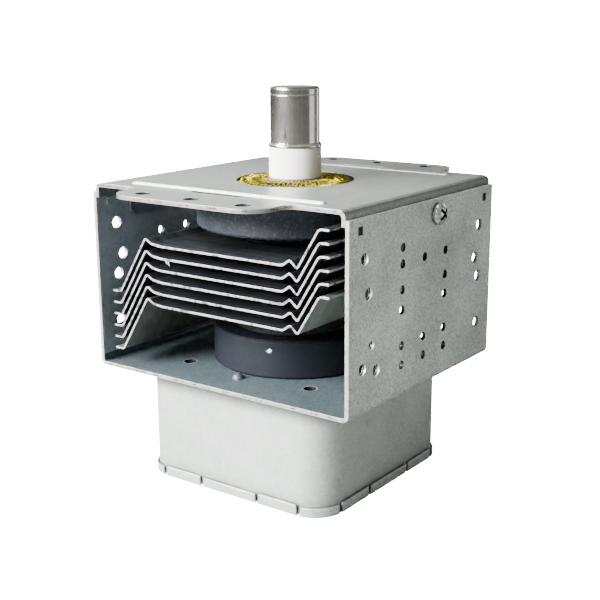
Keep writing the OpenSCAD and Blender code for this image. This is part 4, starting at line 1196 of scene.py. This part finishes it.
@dataclass
class CrimpedLid:
    """The filter's bottom lid: a flat plate, and a skirt of folded segments round the box."""

    half: float = 35.55 * MM
    corner_r: float = 10.15 * MM
    sheet: float = 0.6 * MM
    skirt_h: float = 3.3 * MM
    bottom_z: float = -93.5 * MM
    slit: float = 1.2 * MM
    middle: float = 11.0 * MM
    corner_over: float = 1.0 * MM
    flare: float = 0.22 * MM
    wobble: float = 0.16 * MM
    height_spread: float = 0.06
    round_drop: float = 0.10
    ripple: float = 0.012
    tilt: float = 0.05
    rim_reach: float = 10.0 * MM
    round_in: float = 0.1 * MM
    columns: int = 24
    plate_columns: int = 32
    seed: int = 11

    def outline(self, along: np.ndarray, side: np.ndarray) -> tuple[np.ndarray, np.ndarray]:
        """Follows the rounded square.

        Along a side the point moves straight to the corner and then round a quarter circle. The other
        sides are the first one turned by quarter turns.

        Args:
            along: distance from the side's middle.
            side: which side, 0 to 3.

        Returns:
            The points and their outward normals, both flat.
        """
        flat = self.half - self.corner_r
        turn = np.maximum(np.abs(along) - flat, 0.0) / self.corner_r
        x = np.sign(along) * (np.minimum(np.abs(along), flat) + self.corner_r * np.sin(turn))
        y = -flat - self.corner_r * np.cos(turn)
        normal = np.stack([np.sign(along) * np.sin(turn), -np.cos(turn)], -1)
        cos, sin = np.cos(0.5 * np.pi * side), np.sin(0.5 * np.pi * side)
        spin = np.stack([np.stack([cos, -sin], -1), np.stack([sin, cos], -1)], -2)
        return np.einsum("...ij,...j", spin, np.stack([x, y], -1)), np.einsum("...ij,...j", spin, normal)

    def skirt(self) -> tuple[np.ndarray, list[list[int]], np.ndarray]:
        """Works out the segments: a thin upright profile carried along each stretch between two slits.

        The profile leans out towards its top by the flare. Each segment has its own height and lean, and
        a low wave along it, as folded sheet has.

        Returns:
            The points, the faces, and distance to the nearest end with height for the UV map.
        """
        flat = self.half - self.corner_r
        end = flat + self.corner_over
        round_end = flat + 0.5 * np.pi * self.corner_r - self.corner_over
        starts = np.array([-end, -self.middle, self.middle, end]) + 0.5 * self.slit
        stops = np.array([-self.middle, self.middle, end, round_end]) - 0.5 * self.slit
        starts, stops = np.tile(starts, 4)[:, None], np.tile(stops, 4)[:, None]
        side = np.repeat(np.arange(4), 4)[:, None]
        is_round = np.tile([0.0, 0.0, 0.0, 1.0], 4)[:, None]
        count = len(side)
        rng = np.random.default_rng(self.seed)
        share = np.linspace(0.0, 1.0, self.columns)[None, :]
        along = starts + (stops - starts) * share
        path, normal = self.outline(along, np.broadcast_to(side, along.shape))
        lean = self.flare * (0.6 + 0.8 * rng.random((count, 1))) - self.round_in * is_round
        phase = 6.3 * rng.random((count, 2, 1))
        wave = np.sin(2.2 * np.pi * share + phase[:, 0]) + 0.6 * np.sin(5.3 * np.pi * share + phase[:, 1])
        tall = 1.0 + self.height_spread * rng.standard_normal((count, 1))
        tall = tall - self.round_drop * is_round + self.ripple * wave
        tilt = self.tilt * rng.standard_normal((count, 1)) * (share - 0.5)
        level = np.array([0.0, 0.10, 0.45, 0.80, 0.96, 1.0, 0.96, 0.80, 0.45, 0.0])
        depth = np.array([0.0, 0.0, 0.0, 0.0, -0.12, -0.5, -0.88, -1.0, -1.0, -1.0]) * self.sheet
        out = depth + level * (lean + 0.5 * self.wobble * wave)[..., None]
        z = self.bottom_z + level * self.skirt_h * (tall + tilt)[..., None]
        z = np.maximum(z, self.bottom_z)
        spots = path[..., None, :] + out[..., None] * normal[..., None, :]
        points = np.concatenate([spots, z[..., None]], -1)
        ring = len(level)
        strip = sheet_faces(self.columns, ring, False, True)
        first = np.arange(count) * self.columns * ring
        faces = (strip[None] + first[:, None, None]).reshape(-1, 4).tolist()
        faces += (first[:, None] + np.arange(ring)).tolist()
        faces += (first[:, None] + (self.columns - 1) * ring + np.arange(ring)[::-1]).tolist()
        reach = np.minimum(along - starts, stops - along)[..., None] / self.rim_reach
        rim = np.stack(np.broadcast_arrays(reach, level), -1)
        return points, faces, rim

    def plate(self) -> tuple[np.ndarray, list[list[int]], np.ndarray]:
        """Works out the flat plate: the outline at three heights, the lowest drawn in, and two flat ends.

        Returns:
            The points, the faces and an even UV map.
        """
        flat = self.half - self.corner_r
        along = np.linspace(-flat, flat + 0.5 * np.pi * self.corner_r, self.plate_columns, endpoint=False)
        path, normal = self.outline(np.tile(along, 4), np.repeat(np.arange(4), self.plate_columns))
        draw_in = np.array([0.35, 0.0, 0.02])[:, None, None] * MM
        height = self.bottom_z + np.array([0.0, 0.3, 0.58])[:, None, None] * MM
        rows, ring = len(height), len(path)
        points = np.concatenate(
            [path[None] - draw_in * normal[None], np.broadcast_to(height, (rows, ring, 1))], -1
        )
        numbers = np.arange(rows * ring).reshape(rows, ring)
        faces = sheet_faces(rows, ring, False, True)[:, ::-1].tolist()
        faces += [numbers[0, ::-1].tolist(), numbers[-1].tolist()]
        return points, faces, np.full((rows * ring, 2), 0.5)

    def build(self, tin: Material) -> None:
        """Makes the lid, which stands for its solid.

        Args:
            tin: the lid's finish.
        """
        points, faces, rim = self.skirt()
        skirt = place_piece("lid_skirt", points, faces, tin, "tinned_sheet", rim)
        points, faces, rim = self.plate()
        plate = place_piece("lid_plate", points, faces, tin, "tinned_sheet", rim)
        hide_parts("filter_lid")
        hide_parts("filter_lid")


@dataclass
class FilterCan:
    """The filter box with its lid, chokes and capacitor."""

    lid: CrimpedLid

    def build(self) -> None:
        """Dresses the solids of the filter and makes the lid."""
        dress(BOX_TIN.material(), "filter_box")
        self.lid.build(LID_TIN.material())
        dress(LUG_TIN.material(), "stem_lugs", "capacitor_blades")
        dress(CHOKE_ENAMEL.material(), "choke_coil_left", "choke_coil_right")
        dress(CORE_FERRITE.material(), "choke_core_left", "choke_core_right")
        dress(BLUE_RESIN.material(), "capacitor_body")
        dress(FLANGE_ZINC.material(), "capacitor_flange")
        dress(RIVET_METAL.material(), "capacitor_rivets")


@dataclass
class PhotoCamera:
    """A camera at the photograph's viewing angle, in degrees and metres."""

    azimuth: float = 36.314
    elevation: float = 14.208
    roll: float = -0.359
    place: Triple = (0.20351, -0.274905, 0.047561)
    focal_px: float = 1099.5
    frame_px: float = 600.0
    sensor: float = 36.0
    clip_start: float = 0.01

    def build(self) -> None:
        """Makes the camera from its three angles: right and up are turned by the roll about the view."""
        azimuth, elevation, roll = (math.radians(a) for a in (self.azimuth, self.elevation, self.roll))
        level = math.cos(elevation)
        back = Vector((math.sin(azimuth) * level, -math.cos(azimuth) * level, math.sin(elevation)))
        flat = Vector((math.cos(azimuth), math.sin(azimuth), 0.0))
        upright = back.cross(flat)
        right = math.cos(roll) * flat + math.sin(roll) * upright
        up = -math.sin(roll) * flat + math.cos(roll) * upright
        data = bpy.data.cameras.new("photo_camera")
        data.sensor_width = self.sensor
        data.lens = self.focal_px / self.frame_px * self.sensor
        data.clip_start = self.clip_start
        camera = bpy.data.objects.new("photo_camera", data)
        turn = Matrix((right, up, back)).transposed().to_4x4()
        camera.matrix_world = Matrix.Translation(self.place) @ turn
        bpy.context.scene.collection.objects.link(camera)
        bpy.context.scene.camera = camera


@dataclass
class SoftLight:
    """An oblong soft light that points at the part."""

    name: str
    place: Triple
    width: float
    height: float
    radiance: float

    def build(self, aim: Vector) -> None:
        """Makes the light; its power is its radiance times pi times its area.

        Args:
            aim: the point it faces.
        """
        data = bpy.data.lights.new(self.name, "AREA")
        data.shape = "RECTANGLE"
        data.size = self.width
        data.size_y = self.height
        data.energy = self.radiance * math.pi * self.width * self.height
        light = bpy.data.objects.new(self.name, data)
        light.location = self.place
        light.rotation_euler = (aim - Vector(self.place)).to_track_quat("-Z", "Y").to_euler()
        light.visible_camera = False
        bpy.context.scene.collection.objects.link(light)


@dataclass(frozen=True)
class Glow:
    """A soft bright side of the room: where it lies, the cosine at its edge, and its colour."""

    toward: Triple
    edge: float
    colour: Colour


@dataclass
class Studio:
    """The pale floor, the white surroundings and the soft lights."""

    floor_z: float
    floor_half: float = 4.0
    white: float = 40.0
    floor_tone: Colour = (0.15, 0.15, 0.145)
    floor_roughness: float = 0.8
    room_tone: Colour = (0.175, 0.19, 0.19)
    aim: Triple = (0.0, 0.0, -0.03)
    glows: tuple[Glow, ...] = (
        Glow((-0.45, -0.85, 0.25), 0.2, (0.20, 0.24, 0.28)),
        Glow((-0.78, 0.55, 0.30), 0.85, (0.66, 0.69, 0.66)),
        Glow((0.9, 0.0, 0.4), 0.2, (0.22, 0.22, 0.19)),
    )
    lights: tuple[SoftLight, ...] = (
        SoftLight("key_light", (-0.36, -0.73, 0.40), 0.60, 0.40, 100.0),
        SoftLight("top_light", (-0.50, -0.14, 0.74), 0.45, 0.45, 26.0),
        SoftLight("right_strip", (0.43, 0.26, 0.03), 0.24, 0.24, 1.6),
        SoftLight("back_strip", (0.13, 0.48, 0.03), 0.10, 0.24, 2.6),
    )

    def floor(self) -> None:
        """Makes the floor: plain white in the picture, and grey in what the part reflects."""
        material = bpy.data.materials.new("pale_floor")
        material.use_nodes = True
        s = Shader(material.node_tree)
        surface = s.tree.nodes["Principled BSDF"]
        s.plug(surface.inputs["Base Color"], self.floor_tone)
        s.plug(surface.inputs["Roughness"], self.floor_roughness)
        seen = s.add("LightPath").outputs["Is Camera Ray"]
        white = s.add("Emission", {"Strength": self.white})
        mixed = s.add("MixShader", {0: seen, 1: surface.outputs[0], 2: white.outputs[0]})
        s.plug(s.tree.nodes["Material Output"].inputs["Surface"], mixed.outputs[0])
        half = self.floor_half
        mesh = bpy.data.meshes.new("floor")
        corners = [(x * half, y * half, self.floor_z) for x, y in ((-1, -1), (1, -1), (1, 1), (-1, 1))]
        mesh.from_pydata(corners, [], [(0, 1, 2, 3)])
        mesh.materials.append(material)
        floor = bpy.data.objects.new("floor", mesh)
        bpy.context.scene.collection.objects.link(floor)

    def surroundings(self) -> None:
        """Makes the world: white to the camera, and a soft grey room with bright sides for the light."""
        world = bpy.data.worlds.new("studio")
        world.use_nodes = True
        bpy.context.scene.world = world
        s = Shader(world.node_tree)
        room = s.tree.nodes["Background"]
        direction = s.add("TexCoord").outputs["Generated"]
        light = self.room_tone
        for glow in self.glows:
            facing = s.dot(direction, tuple(Vector(glow.toward).normalized()))
            light = s.vector("ADD", light, s.scaled(glow.colour, s.spread(facing, glow.edge, 1.0)))
        s.plug(room.inputs["Color"], light)
        white = s.add("Background", {"Strength": self.white})
        seen = s.add("LightPath").outputs["Is Camera Ray"]
        mixed = s.add("MixShader", {0: seen, 1: room.outputs[0], 2: white.outputs[0]})
        s.plug(s.tree.nodes["World Output"].inputs["Surface"], mixed.outputs[0])

    def build(self) -> None:
        """Makes the floor, the surroundings and the lights."""
        self.floor()
        self.surroundings()
        for light in self.lights:
            light.build(Vector(self.aim))


def main() -> None:
    """Builds the camera, the studio and each sub-assembly."""
    logging.basicConfig(level=logging.INFO, format="%(name)s: %(message)s")
    PhotoCamera().build()
    Studio(floor_z=CAD_BOX[0][2]).build()
    for part in (Yoke(), OutputStage(BraidedGasket()), TubeCore(Burr()), FilterCan(CrimpedLid())):
        part.build()


if __name__ == "__main__":
    main()
